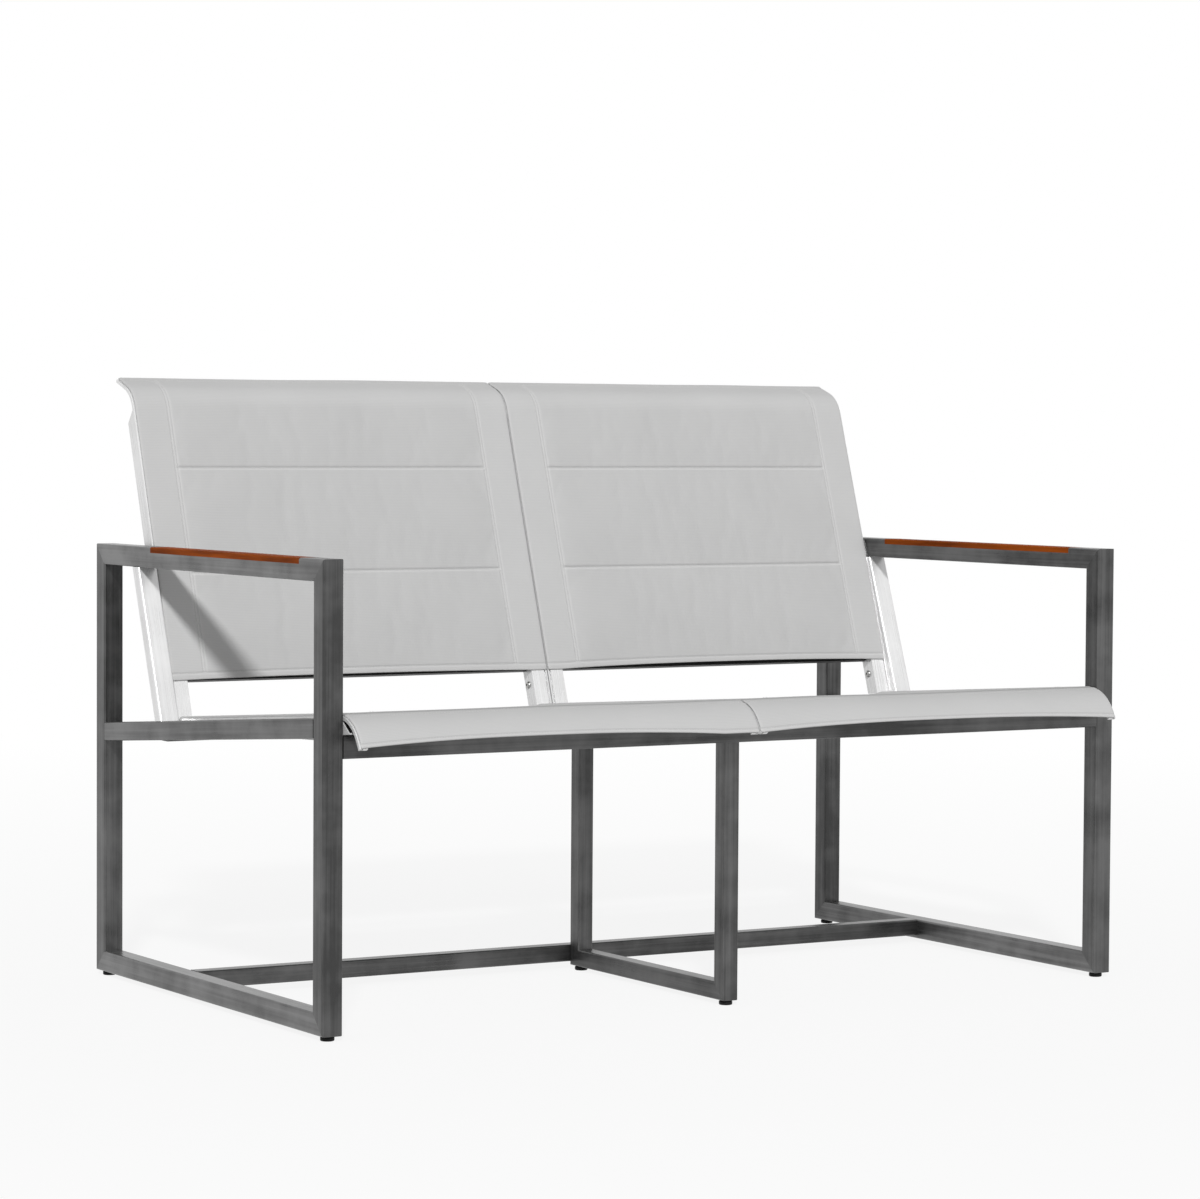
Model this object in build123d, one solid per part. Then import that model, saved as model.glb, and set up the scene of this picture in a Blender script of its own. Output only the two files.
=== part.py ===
from build123d import *
import math
import os

# All sizes are in millimetres. X runs along the width, Y from front to back, Z up.
# Pieces are laid out from the front face of the front legs (Y = 0) and moved to the
# centre of the loveseat at the end. The back line is the depth of the back rails'
# front face at the lower hem of the back slings.

# End frames
overall_width = 1300.0
frame_depth = 737.0
arm_height = 633.0
tube = 30.0
tube_wall = 2.0
tube_corner = 3.0
back_set = 195.3  # back line ahead of the frames' rear face

# Cross members and middle frame
cross = 25.0
cross_wall = 2.0
cross_corner = 2.5
front_rail_tall = 30.0
middle_set = 93.7  # middle frame's rear face ahead of the back line
rear_rail_set = 6.3  # rear cross rail behind the back line
rear_rail_drop = 3.0  # rear cross rail's middle below the side rails' middle

# Seat side rails and back uprights
seat_rake = 4.31
side_rail_top = 425.9  # at Y = 0
side_rail_tall = 27.0
upright_lean = 1.5  # rake of the uprights beyond the rake of the back
upright_set = 11.0  # uprights' rear face ahead of the back line, at the foot
upright_deep = 20.0
plate_thick = 4.0
plate_gap = 15.0  # plates' foot above the side rails
post = 20.0

# Sling rails: a box with a grooved lip along its outer front edge
rail_wide = 26.0
rail_deep = 25.0
rail_wall = 2.0
rail_stand = 2.4  # seat rails' top above the side rails' top
slot_wide = 2.0
slot_deep = 1.0
groove_inset = 1.2
groove_wide = 4.4
groove_deep = 2.6
lip_floor = 0.9
lip_land = 6.6
box_cut = 17.0  # slant of the box's end behind the back roll

# Back line of the sling rails
back_rake = 18.5
hem_rise = 54.0  # back slings' lower hem above the seat line
back_run = 412.0
back_roll = 47.0
back_turn = 52.0
back_tail = 33.0

# Seat line of the sling rails
seat_front = 16.0
seat_roll = 59.0
seat_turn = 64.3
seat_tail = 12.0
seat_edge = 8.6  # seat slings' rear edge ahead of the back rails' feet
seat_box_reach = 30.0  # box under the front roll

# Slings
sling = 3.0
band = 54.0  # flat side band, from the edge of the panel's bay
pad_slope = 20.0
pad_shoulder = 0.8  # share of the padding at the end of that slope
pad_steps = 2
back_crown = 4.0
back_belly = 7.0
seat_crown = 2.5
seat_belly = 9.0
flat_rise = 0.1
channel_depth = 3.0
channels = 3
hem = 10.0
sag = 34.0
sag_reach = 153.0  # full sag this far behind the seat's front roll
sag_power = 3
back_arch = 5.0
seat_arch = 9.0

# Spreader bars of the back
bar_tall = 20.0
bar_deep = 10.0
bar_wall = 1.0
bar_inset = 13.0
low_bar = 13.3
high_bar_drop = 37.0

# Arm inlays
inlay_start = 72.0
inlay_end = 546.0
inlay_thick = 8.3
inlay_round = 2.0

# Fasteners and glides
bolt = 3.0
bolt_head_land = 2.5
bolt_head_tall = 3.3
bolt_depth = 15.0  # bolts behind the sling rails' front face
bolt_edge = 18.7  # back bolts above the foot of the plates
bolt_out = 3.0
glide = 9.5
glide_tall = 7.0

# Clearances
seat_gap = 0.3
middle_gap = 1.0  # each middle rail from the middle of the loveseat
hole_gap = 0.2
cord_gap = 0.4
rim_gap = 0.9

floor_line = glide_tall
half = overall_width / 2
inside = half - tube
slope = math.tan(math.radians(seat_rake))
tilt = math.cos(math.radians(seat_rake))
rake = math.tan(math.radians(back_rake))
upright_rake = back_rake + upright_lean
lean = math.tan(math.radians(upright_rake))
seat_line = side_rail_top + rail_stand
back_line = frame_depth - back_set
back_hem = seat_line - slope * back_line + hem_rise
middle_reach = back_line - middle_set
rear_rail_line = back_line + rear_rail_set
seat_rear = back_line - rake * hem_rise - seat_edge
slot_inset = groove_inset + (groove_wide - slot_wide) / 2
lip_wide = groove_inset + groove_wide + lip_land
lip_deep = slot_deep + groove_deep + lip_floor
rail_run = rail_deep / math.cos(math.radians(back_rake))
rim = middle_gap + rail_wide + rim_gap
arm_under = arm_height - tube
far = tube
over = tube_wall

parts = {}


def flat(points):
    """Face in the side plane from (Y, Z) corners."""
    return make_face(Polyline(*points, close=True))


def slab(face, x0, x1):
    """Side-plane face drawn out along X from x0 to x1."""
    low = min(x0, x1)
    return Pos(low, 0, 0) * extrude(Plane.YZ * face, amount=abs(x1 - x0), dir=(1, 0, 0))


def box(x0, x1, y0, y1, z0, z1):
    """Block between two corners, given in either order along X."""
    size = (abs(x1 - x0), y1 - y0, z1 - z0)
    return Pos((x0 + x1) / 2, (y0 + y1) / 2, (z0 + z1) / 2) * Box(*size)


def rod(x0, x1, y, z, radius):
    """Round bar along X."""
    start = Plane(origin=(min(x0, x1), y, z), z_dir=(1, 0, 0))
    return extrude(start * Circle(radius), amount=abs(x1 - x0))


def pin(x, y, z0, z1, radius):
    """Round bar along Z."""
    return Pos(x, y, z0) * extrude(Circle(radius), amount=z1 - z0)


def hollow(start, end, side, wide, deep, wall, corner):
    """Hollow tube, its edges rounded by corner, between two points of its centre line."""
    axis = Vector(*end) - Vector(*start)
    plane = Plane(origin=start, x_dir=side, z_dir=axis)
    outline = RectangleRounded(wide, deep, corner) if corner else Rectangle(wide, deep)
    ring = outline - Rectangle(wide - 2 * wall, deep - 2 * wall)
    return extrude(plane * ring, amount=axis.length)


def trim(shape, points):
    """Part of a shape inside a side-plane outline."""
    return shape & slab(flat(points), -overall_width, overall_width)


def side_top(y):
    """Height of the side rails' top at a depth."""
    return side_rail_top - slope * y


def seat_top(y):
    """Height of the seat rails' top at a depth."""
    return seat_line - slope * y


class Path:
    """Run of tangent lines and arcs in the side plane, with the sling on its left."""

    def __init__(self, start, heading, steps):
        self.legs = []
        for size, turn in steps:
            length = size if turn == 0 else size * math.radians(abs(turn))
            self.legs.append((start, heading, size, turn, length))
            start, heading = self.state(start, heading, size, turn, length)
        self.length = sum(leg[4] for leg in self.legs)

    @staticmethod
    def left(heading):
        """Unit normal to the left of a heading."""
        angle = math.radians(heading)
        return -math.sin(angle), math.cos(angle)

    def state(self, start, heading, size, turn, s):
        """Point and heading at a distance along one leg."""
        n = self.left(heading)
        if turn == 0:
            return (start[0] + n[1] * s, start[1] - n[0] * s), heading
        sign = math.copysign(1, turn)
        end = heading + sign * math.degrees(s / size)
        m = self.left(end)
        shift = sign * size
        point = (start[0] + shift * (n[0] - m[0]), start[1] + shift * (n[1] - m[1]))
        return point, end

    def point(self, s, off=0.0):
        """Point at a distance along the run and an offset to its left."""
        for leg in self.legs:
            if s <= leg[4] or leg is self.legs[-1]:
                break
            s -= leg[4]
        (y, z), heading = self.state(*leg[:4], s)
        n = self.left(heading)
        return y + off * n[0], z + off * n[1]

    def line(self, s0, s1, off):
        """Edges at a constant offset between two distances."""
        edges = []
        done = 0.0
        for start, heading, size, turn, length in self.legs:
            last = done + length >= self.length - 1e-6
            low = max(s0, done) if done > 0 else s0
            high = s1 if last else min(s1, done + length)
            done += length
            if high - low < 1e-6:
                continue
            a = self.point(low, off)
            b = self.point(high, off)
            if turn == 0:
                edges.append(Line(a, b))
            else:
                edges.append(ThreePointArc(a, self.point((low + high) / 2, off), b))
        return edges

    def strip(self, s0, s1, low, high):
        """Face between two offsets along part of the run."""
        sides = self.line(s0, s1, high) + self.line(s0, s1, low)
        ends = [Line(self.point(s, low), self.point(s, high)) for s in (s0, s1)]
        return make_face(sides + ends)


# End frames: mitred rectangle of tube, side rail, raked upright and inlay
mitre_legs = {
    "front_leg": [
        (-far, arm_height + far),
        (tube + far, arm_height - tube - far),
        (tube + far, floor_line + tube + far),
        (-far, floor_line - far),
    ],
    "rear_leg": [
        (frame_depth + far, arm_height + far),
        (frame_depth - tube - far, arm_height - tube - far),
        (frame_depth - tube - far, floor_line + tube + far),
        (frame_depth + far, floor_line - far),
    ],
}
mitre_arm = [
    (-far, arm_height + far),
    (frame_depth + far, arm_height + far),
    (frame_depth - tube - far, arm_height - tube - far),
    (tube + far, arm_height - tube - far),
]
mitre_runner = [
    (-far, floor_line - far),
    (tube + far, floor_line + tube + far),
    (frame_depth - tube - far, floor_line + tube + far),
    (frame_depth + far, floor_line - far),
]
side_rail_drop = side_rail_tall / tilt
upright_run = upright_deep / math.cos(math.radians(upright_rake))
upright_foot = back_line - upright_set


def upright_rear(z):
    """Depth of the uprights' rear face at a height."""
    return upright_foot + lean * (z - side_top(upright_foot))


across = (1, 0, 0)
glide_seats = {}
for name, hand in (("left", -1), ("right", 1)):
    x = hand * (half - tube / 2)
    x_in = hand * inside
    x_out = hand * half
    for leg, y in (("front_leg", tube / 2), ("rear_leg", frame_depth - tube / 2)):
        low = (x, y, floor_line - over)
        high = (x, y, arm_height + over)
        shaft = hollow(low, high, across, tube, tube, tube_wall, tube_corner)
        parts[f"{leg}_{name}"] = trim(shaft, mitre_legs[leg])

    arm_mid = arm_height - tube / 2
    notch_low = arm_height - inlay_thick
    start = (x, -over, arm_mid)
    end = (x, frame_depth + over, arm_mid)
    arm = hollow(start, end, across, tube, tube, tube_wall, tube_corner)
    floor = box(
        x_in + hand * tube_wall / 2,
        x_out - hand * tube_wall / 2,
        inlay_start - tube_wall,
        inlay_end + tube_wall,
        notch_low - tube_wall,
        arm_height - tube_wall / 2,
    )
    arm = arm + floor
    arm = arm - box(x - tube, x + tube, inlay_start, inlay_end, notch_low, arm_height + far)
    arm = trim(arm, mitre_arm)
    inlay = box(
        x_in,
        x_out,
        inlay_start + hole_gap,
        inlay_end - hole_gap,
        notch_low,
        arm_height,
    )
    rims = inlay.edges().filter_by(Axis.Y).group_by(Axis.Z)[-1]
    inlay = fillet(rims, inlay_round)
    parts[f"arm_rail_{name}"] = arm
    parts[f"arm_inlay_{name}"] = inlay

    start = (x, -over, floor_line + tube / 2)
    end = (x, frame_depth + over, floor_line + tube / 2)
    runner = hollow(start, end, across, tube, tube, tube_wall, tube_corner)
    parts[f"runner_{name}"] = trim(runner, mitre_runner)
    glide_seats[name] = [(x, tube / 2), (x, frame_depth - tube / 2)]

    start = (x, 0, side_top(0) - side_rail_drop / 2)
    end = (x, frame_depth, side_top(frame_depth) - side_rail_drop / 2)
    rail = hollow(start, end, across, tube, side_rail_tall, tube_wall, tube_corner)
    rail = trim(
        rail,
        [
            (tube, arm_height),
            (frame_depth - tube, arm_height),
            (frame_depth - tube, floor_line),
            (tube, floor_line),
        ],
    )
    parts[f"side_rail_{name}"] = rail

    foot = side_top(upright_foot) - far
    top = arm_under + far
    start = (x, upright_rear(foot) - upright_run / 2, foot)
    end = (x, upright_rear(top) - upright_run / 2, top)
    upright = hollow(start, end, across, tube, upright_deep, tube_wall, tube_corner)
    upright = trim(
        upright,
        [
            (0, side_top(0)),
            (frame_depth, side_top(frame_depth)),
            (frame_depth, arm_under),
            (0, arm_under),
        ],
    )
    parts[f"back_upright_{name}"] = upright

# Cross members between the end frames
front_rail_top = seat_top(cross) - rail_deep / tilt - seat_gap
front_mid = front_rail_top - front_rail_tall / 2
parts["front_rail"] = hollow(
    (-inside, cross / 2, front_mid),
    (inside, cross / 2, front_mid),
    (0, 1, 0),
    cross,
    front_rail_tall,
    cross_wall,
    cross_corner,
)
rear_mid_y = rear_rail_line + cross / 2
rear_mid_z = side_top(rear_mid_y) - side_rail_drop / 2 - rear_rail_drop
rear_top = rear_mid_z + cross / 2
parts["rear_rail"] = hollow(
    (-inside, rear_mid_y, rear_mid_z),
    (inside, rear_mid_y, rear_mid_z),
    (0, 1, 0),
    cross,
    cross,
    cross_wall,
    cross_corner,
)
stretcher_y = middle_reach + cross / 2
stretcher_z = floor_line + tube - cross / 2
parts["floor_stretcher"] = hollow(
    (-inside, stretcher_y, stretcher_z),
    (inside, stretcher_y, stretcher_z),
    (0, 1, 0),
    cross,
    cross,
    cross_wall,
    cross_corner,
)

# Middle frame, behind the front rail: runner mitred to two legs, sloped top rail on the legs
middle_front = cross


def middle_under(y):
    """Height of the middle top rail's underside at a depth."""
    return seat_top(y) - (rail_deep + cross) / tilt


for leg, y in (("front", middle_front + cross / 2), ("rear", middle_reach - cross / 2)):
    low = (0, y, floor_line - over)
    high = (0, y, arm_height)
    shaft = hollow(low, high, across, cross, cross, cross_wall, cross_corner)
    reach = middle_front if leg == "front" else middle_reach
    lead = 1 if leg == "front" else -1
    outline = [
        (reach - lead * far, floor_line - far),
        (reach + lead * (cross + far), floor_line + cross + far),
        (reach + lead * (cross + far), middle_under(reach + lead * (cross + far))),
        (reach - lead * far, middle_under(reach - lead * far)),
    ]
    parts[f"middle_{leg}_leg"] = trim(shaft, outline)
runner_mid = floor_line + cross / 2
runner = hollow(
    (0, middle_front - over, runner_mid),
    (0, middle_reach + over, runner_mid),
    across,
    cross,
    cross,
    cross_wall,
    cross_corner,
)
parts["middle_runner"] = trim(
    runner,
    [
        (middle_front - far, floor_line - far),
        (middle_front + cross + far, floor_line + cross + far),
        (middle_reach - cross - far, floor_line + cross + far),
        (middle_reach + far, floor_line - far),
    ],
)
glide_seats["middle"] = [(0, middle_front + cross / 2), (0, middle_reach - cross / 2)]
top_mid = (rail_deep + cross / 2) / tilt
top_rail = hollow(
    (0, 0, seat_top(0) - top_mid),
    (0, middle_reach + far, seat_top(middle_reach + far) - top_mid),
    across,
    cross,
    cross,
    cross_wall,
    cross_corner,
)
parts["middle_top_rail"] = trim(
    top_rail,
    [
        (middle_front, arm_height),
        (middle_reach, arm_height),
        (middle_reach, floor_line),
        (middle_front, floor_line),
    ],
)

# Lines of the sling rails
back_heading = 90 - back_rake
back_path = Path(
    (back_line, back_hem),
    back_heading,
    [(back_run, 0), (back_roll, -back_turn), (back_tail, 0)],
)
lip_heading = seat_turn - seat_rake
top_normal = Path.left(-seat_rake)
lip_normal = Path.left(lip_heading)
roll_top = (seat_front, seat_top(seat_front))
roll_end = (
    roll_top[0] + seat_roll * (lip_normal[0] - top_normal[0]),
    roll_top[1] + seat_roll * (lip_normal[1] - top_normal[1]),
)
lip_tip = (roll_end[0] - seat_tail * lip_normal[1], roll_end[1] + seat_tail * lip_normal[0])
rail_rear = rear_rail_line - seat_gap
seat_path = Path(
    lip_tip,
    lip_heading,
    [(seat_tail, 0), (seat_roll, -seat_turn), ((rail_rear - seat_front) / tilt, 0)],
)
seat_bend = seat_tail + seat_roll * math.radians(seat_turn)


def seat_at(y):
    """Distance along the seat line at a depth behind its roll."""
    return seat_bend + (y - seat_front) / tilt


# Sling rails: hollow box along the straight run, grooved lip along the whole run
def sling_rail(path, body, bore, start, end, x_out, lead):
    """Rail whose outer face is at x_out and whose body lies towards lead."""

    def at(distance):
        return x_out + lead * distance

    rail = slab(body, at(0), at(rail_wide))
    rail = rail - slab(bore[0], at(rail_wall), at(rail_wide - rail_wall))
    rail = rail - slab(bore[1], at(lip_wide + rail_wall), at(rail_wide - rail_wall))
    lip = slab(path.strip(start, end, -lip_deep, 0), at(0), at(lip_wide))
    rail = rail + lip
    low = -slot_deep - groove_deep
    groove = slab(
        path.strip(start - over, end + over, low, -slot_deep),
        at(groove_inset),
        at(groove_inset + groove_wide),
    )
    slot = slab(
        path.strip(start - over, end + over, -slot_deep - over, over),
        at(slot_inset),
        at(slot_inset + slot_wide),
    )
    return rail - groove - slot


back_low = -hem_rise / math.cos(math.radians(back_rake)) - 2 * far
back_body = flat(
    [
        back_path.point(back_low),
        back_path.point(back_run),
        back_path.point(back_run - box_cut, -rail_deep),
        back_path.point(back_low, -rail_deep),
    ]
)


def bore_faces(path, s0, s1):
    """Deep and shallow parts of the hollow inside a rail's box."""
    step = -lip_deep - rail_wall
    deep = [(s0, step), (s1, step), (s1, rail_wall - rail_deep), (s0, rail_wall - rail_deep)]
    shallow = [(s0, -rail_wall), (s1, -rail_wall), (s1, step - over), (s0, step - over)]
    return [flat([path.point(s, off) for s, off in corners]) for corners in (deep, shallow)]


back_bore = bore_faces(back_path, back_low - over, back_run)
back_foot = [
    (0, seat_top(0) + seat_gap),
    (frame_depth, seat_top(frame_depth) + seat_gap),
    (frame_depth, 2 * arm_height),
    (0, 2 * arm_height),
]


def seat_point(y, off):
    """Point below the straight seat line at a depth."""
    n = Path.left(-seat_rake)
    return y + off * n[0], seat_top(y) + off * n[1]


seat_body = flat(
    [
        seat_point(seat_front, 0),
        seat_point(rail_rear, 0),
        (rail_rear, seat_point(rail_rear, -rail_deep)[1]),
        seat_point(seat_front - seat_box_reach, -rail_deep),
    ]
)
step = -lip_deep - rail_wall
seat_bore = [
    flat(
        [
            seat_point(seat_front - 2 * seat_box_reach, step),
            seat_point(frame_depth, step),
            seat_point(frame_depth, rail_wall - rail_deep),
            seat_point(seat_front - 2 * seat_box_reach, rail_wall - rail_deep),
        ]
    ),
    flat(
        [
            seat_point(seat_front, -rail_wall),
            seat_point(frame_depth, -rail_wall),
            seat_point(frame_depth, step - over),
            seat_point(seat_front, step - over),
        ]
    ),
]
rail_places = {
    "left_end": (-(inside - seat_gap), 1),
    "left_middle": (-middle_gap, -1),
    "right_middle": (middle_gap, 1),
    "right_end": (inside - seat_gap, -1),
}
plate_foot = side_top(back_line) + plate_gap
plate_head = (plate_foot + arm_under) / 2
bolt_run = back_line + bolt_depth / math.cos(math.radians(back_rake))
bolt_level = plate_foot + bolt_edge
back_bolt = (bolt_run + rake * (bolt_level - back_hem), bolt_level)
for place, (x_out, lead) in rail_places.items():
    reach = rail_wall if place == "right_middle" else rail_wide
    drill = (x_out - lead * over, x_out + lead * (reach + over))
    end = back_path.length
    rail = sling_rail(back_path, back_body, back_bore, back_low, end, x_out, lead)
    rail = trim(rail, back_foot)
    parts[f"back_rail_{place}"] = rail - rod(*drill, *back_bolt, bolt + hole_gap)
    end = seat_path.length
    rail = sling_rail(seat_path, seat_body, seat_bore, 0, end, x_out, lead)
    parts[f"seat_rail_{place}"] = rail
    cord_low = -slot_deep - groove_deep + cord_gap
    cord_high = -slot_deep - cord_gap
    cord_x0 = x_out + lead * (groove_inset + cord_gap)
    cord_x1 = x_out + lead * (groove_inset + groove_wide - cord_gap)
    cord = back_path.strip(0, back_path.length, cord_low, cord_high)
    parts[f"back_spline_{place}"] = slab(cord, cord_x0, cord_x1)
    cord = seat_path.strip(0, seat_at(seat_rear), cord_low, cord_high)
    parts[f"seat_spline_{place}"] = slab(cord, cord_x0, cord_x1)

# Rail plates behind the uprights, centre post behind the middle back rails
def rail_back(z):
    """Depth of the back rails' rear face at a height."""
    return back_line + rail_run + rake * (z - back_hem)


for name, hand in (("left", -1), ("right", 1)):
    plate = flat(
        [
            (upright_rear(plate_foot), plate_foot),
            (rail_back(plate_foot), plate_foot),
            (rail_back(plate_head), plate_head),
            (upright_rear(plate_head), plate_head),
        ]
    )
    plate = slab(plate, hand * inside, hand * (inside + plate_thick))
    x0 = hand * (inside - over)
    x1 = hand * (inside + plate_thick + over)
    parts[f"rail_plate_{name}"] = plate - rod(x0, x1, *back_bolt, bolt + hole_gap)

post_run = post / math.cos(math.radians(back_rake)) / 2
post_foot = (0, rail_back(rear_top - far) + post_run, rear_top - far)
post_head = (0, rail_back(arm_height) + post_run, arm_height)
centre_post = hollow(post_foot, post_head, across, post, post, cross_wall, cross_corner)
parts["centre_post"] = trim(
    centre_post,
    [
        (rear_rail_line, rear_top),
        (frame_depth, rear_top),
        (frame_depth, plate_head),
        (rear_rail_line, plate_head),
    ],
)

# Spreader bars between the back rails of each panel
for name, hand in (("left", -1), ("right", 1)):
    x0 = hand * (middle_gap + rail_wide)
    x1 = hand * (inside - seat_gap - rail_wide)
    for level, s in (("low", low_bar), ("high", back_run - high_bar_drop)):
        y, z = back_path.point(s, -bar_inset - bar_deep / 2)
        along = (math.cos(math.radians(back_heading)), math.sin(math.radians(back_heading)))
        parts[f"back_bar_{level}_{name}"] = hollow(
            (min(x0, x1), y, z),
            (max(x0, x1), y, z),
            (0, along[0], along[1]),
            bar_tall,
            bar_deep,
            bar_wall,
            0,
        )


# Slings: quilted panels lofted across the width, with an edge tongue in each rail's slot
def bulge(path, s0, s1, off0, off1, rise):
    """Arc between two distances, raised above its chord."""
    middle = (off0 + off1) / 2 + rise
    return ThreePointArc(
        path.point(s0, off0),
        path.point((s0 + s1) / 2, middle),
        path.point(s1, off1),
    )


def section(path, stops, x, front, back, rise, sink):
    """Cross-section of a panel: quilted front, quilted back, two hems."""

    def skin(level, swell):
        edges = []
        for kind, s0, s1 in stops:
            a = level(s0)
            b = level(s1)
            if kind == "roll":
                edges.extend(path.line(s0, s1, a))
            elif kind == "flat":
                edges.append(Line(path.point(s0, a), path.point(s1, b)))
            else:
                edges.append(bulge(path, s0, s1, a, b, swell))
        return edges

    top = skin(lambda s: front - sink(s), max(rise[0], flat_rise))
    under = skin(lambda s: back(s) - sink(s), -max(rise[1], flat_rise))
    s0 = stops[0][1]
    s1 = stops[-1][2]
    ends = [
        Line(path.point(s, front - sink(s)), path.point(s, back(s) - sink(s))) for s in (s0, s1)
    ]
    return Pos(x, 0, 0) * (Plane.YZ * make_face(top + under + ends))


def panel_places(hand):
    """Positions across one panel with the share of full padding at each."""
    tuck = slot_inset - cord_gap / 2
    edge = [(rim, 0), (band, 0), (band + pad_slope, pad_shoulder)]
    step = (inside - 2 * band) / pad_steps
    pad = [(band + step * i, 1) for i in range(1, pad_steps)]
    spots = [(middle_gap + tuck, 0)] + edge + pad
    spots += [(inside - x, share) for x, share in edge[::-1]]
    spots += [(inside - seat_gap - tuck, 0)]
    return [(hand * x, share) for x, share in spots]


def hang(x):
    """Share of full sag across one panel, none over the rails."""
    away = abs(abs(x) - inside / 2) / (inside / 2 - rim)
    return max(0.0, 1 - away**sag_power)


def tongues(path, s0, s1):
    """Edge strips of both panels that enter the slots, by panel."""
    strip = path.strip(s0, s1, -slot_deep, seat_gap + sling / 2)
    pieces = {}
    for name, hand in (("left", -1), ("right", 1)):
        pair = []
        for x_out, lead in (
            (hand * middle_gap, hand),
            (hand * (inside - seat_gap), -hand),
        ):
            edge = x_out + lead * (slot_inset + cord_gap)
            pair.append(slab(strip, edge, edge + lead * (slot_wide - 2 * cord_gap)))
        pieces[name] = pair
    return pieces


pitch = (back_path.length - hem) / channels
seat_start = seat_bend + hem
seat_pitch = (seat_at(seat_rear) - hem - seat_start) / channels


def seat_sag(s):
    """Share of full sag along the seat, none at the front roll."""
    return min(1.0, max(0.0, s - seat_start) / sag_reach)


def quilting(stops):
    """Channels between neighbouring distances."""
    return [("channel", s0, s1) for s0, s1 in zip(stops, stops[1:])]


def underside(seams, dip):
    """Offset of a panel's back: padding behind the seams between channels, none at the hems."""
    return lambda s: seat_gap - (dip if s in seams[1:-1] else 0.0)


back_tongues = tongues(back_path, hem, back_path.length)
seat_tongues = tongues(seat_path, 0, seat_at(seat_rear))
base = seat_gap + sling
for name, hand in (("left", -1), ("right", 1)):
    sections = []
    for x, share in panel_places(hand):
        arch = back_arch * hang(x)
        dip = channel_depth * share
        seams = [arch + hem] + [pitch * i for i in range(1, channels)] + [back_run]
        stops = [
            ("flat", arch, arch + hem),
            *quilting(seams),
            ("roll", back_run, back_path.length - back_tail),
            ("flat", back_path.length - back_tail, back_path.length),
        ]
        rise = (back_crown * share, back_belly * share - dip)
        low = underside(seams, dip)
        sections.append(section(back_path, stops, x, base, low, rise, lambda s: 0.0))
    panel = loft(sections if hand > 0 else sections[::-1], ruled=True)
    for tongue in back_tongues[name]:
        panel = panel + tongue
    parts[f"back_sling_{name}"] = panel

    sections = []
    for x, share in panel_places(hand):
        arch = seat_arch * hang(x)
        dip = channel_depth * share
        seams = [seat_start + seat_pitch * i for i in range(channels + 1)]
        stops = [
            ("flat", arch, seat_tail),
            ("roll", seat_tail, seat_bend),
            ("flat", seat_bend, seat_start),
            *quilting(seams),
            ("flat", seams[-1], seat_at(seat_rear)),
        ]
        rise = (seat_crown * share, seat_belly * share - dip)
        low = underside(seams, dip)
        deep = sag * hang(x)
        sections.append(
            section(seat_path, stops, x, base, low, rise, lambda s: deep * seat_sag(s))
        )
    panel = loft(sections if hand > 0 else sections[::-1], ruled=True)
    for tongue in seat_tongues[name]:
        panel = panel + tongue
    parts[f"seat_sling_{name}"] = panel


# Bolts of the back rails: outer rails to the plates, middle rails to each other
def button_bolt(head_x, lead, length):
    """Bolt whose head lies against head_x and whose shank runs towards lead."""
    shank = rod(head_x, head_x + lead * length, *back_bolt, bolt)
    head = rod(head_x - lead * bolt_head_tall, head_x, *back_bolt, bolt + bolt_head_land)
    return shank + head


inner_face = inside - seat_gap - rail_wide
middle_face = middle_gap + rail_wide
end_grip = rail_wide + seat_gap + plate_thick + bolt_out
middle_grip = rail_wide + 2 * middle_gap + rail_wall + bolt_out
bolts = [button_bolt(hand * inner_face, hand, end_grip) for hand in (-1, 1)]
bolts.append(button_bolt(-middle_face, 1, middle_grip))
parts["back_bolts"] = Compound(bolts)

# Glides under the corners of the runners
for name, spots in glide_seats.items():
    parts[f"glides_{name}"] = Compound([pin(*spot, 0, glide_tall, glide) for spot in spots])

# Origin on the floor at the middle of the loveseat
reach = Compound(list(parts.values())).bounding_box()
shift = Pos(0, -(reach.min.Y + reach.max.Y) / 2, 0)
os.makedirs("parts", exist_ok=True)
for name, shape in parts.items():
    export_step(shift * shape, f"parts/{name}.step")
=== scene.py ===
import math

import bmesh
import bpy
import numpy as np
from mathutils import Matrix, Vector


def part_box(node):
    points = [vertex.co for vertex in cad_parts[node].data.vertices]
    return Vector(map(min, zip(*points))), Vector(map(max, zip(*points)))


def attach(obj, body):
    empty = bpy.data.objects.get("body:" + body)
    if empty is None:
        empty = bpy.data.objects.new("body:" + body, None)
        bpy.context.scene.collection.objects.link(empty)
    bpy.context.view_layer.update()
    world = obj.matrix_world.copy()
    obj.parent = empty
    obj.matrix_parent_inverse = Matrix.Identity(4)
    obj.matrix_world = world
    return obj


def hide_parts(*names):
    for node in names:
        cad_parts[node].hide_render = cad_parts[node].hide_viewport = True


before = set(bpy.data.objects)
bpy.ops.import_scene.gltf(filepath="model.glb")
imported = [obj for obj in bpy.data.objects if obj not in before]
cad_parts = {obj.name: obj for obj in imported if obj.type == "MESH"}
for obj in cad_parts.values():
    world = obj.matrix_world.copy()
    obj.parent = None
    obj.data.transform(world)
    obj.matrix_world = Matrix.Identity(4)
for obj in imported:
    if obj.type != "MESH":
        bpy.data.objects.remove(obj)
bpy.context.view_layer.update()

bl_info = {
    "name": "Sling loveseat",
    "version": (1, 0, 0),
    "blender": (4, 5, 0),
    "location": "View3D > Sidebar > Loveseat",
    "description": "Quilted slings, stitching, fittings, finishes and stage of a two-seat sling bench",
    "category": "Object",
}

# All lengths are in metres, in the frame of the loaded nodes.
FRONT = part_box("front_leg_left")[0].y
INSIDE = -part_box("front_leg_left")[1].x
SIDES = (("left", -1), ("right", 1))

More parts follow.
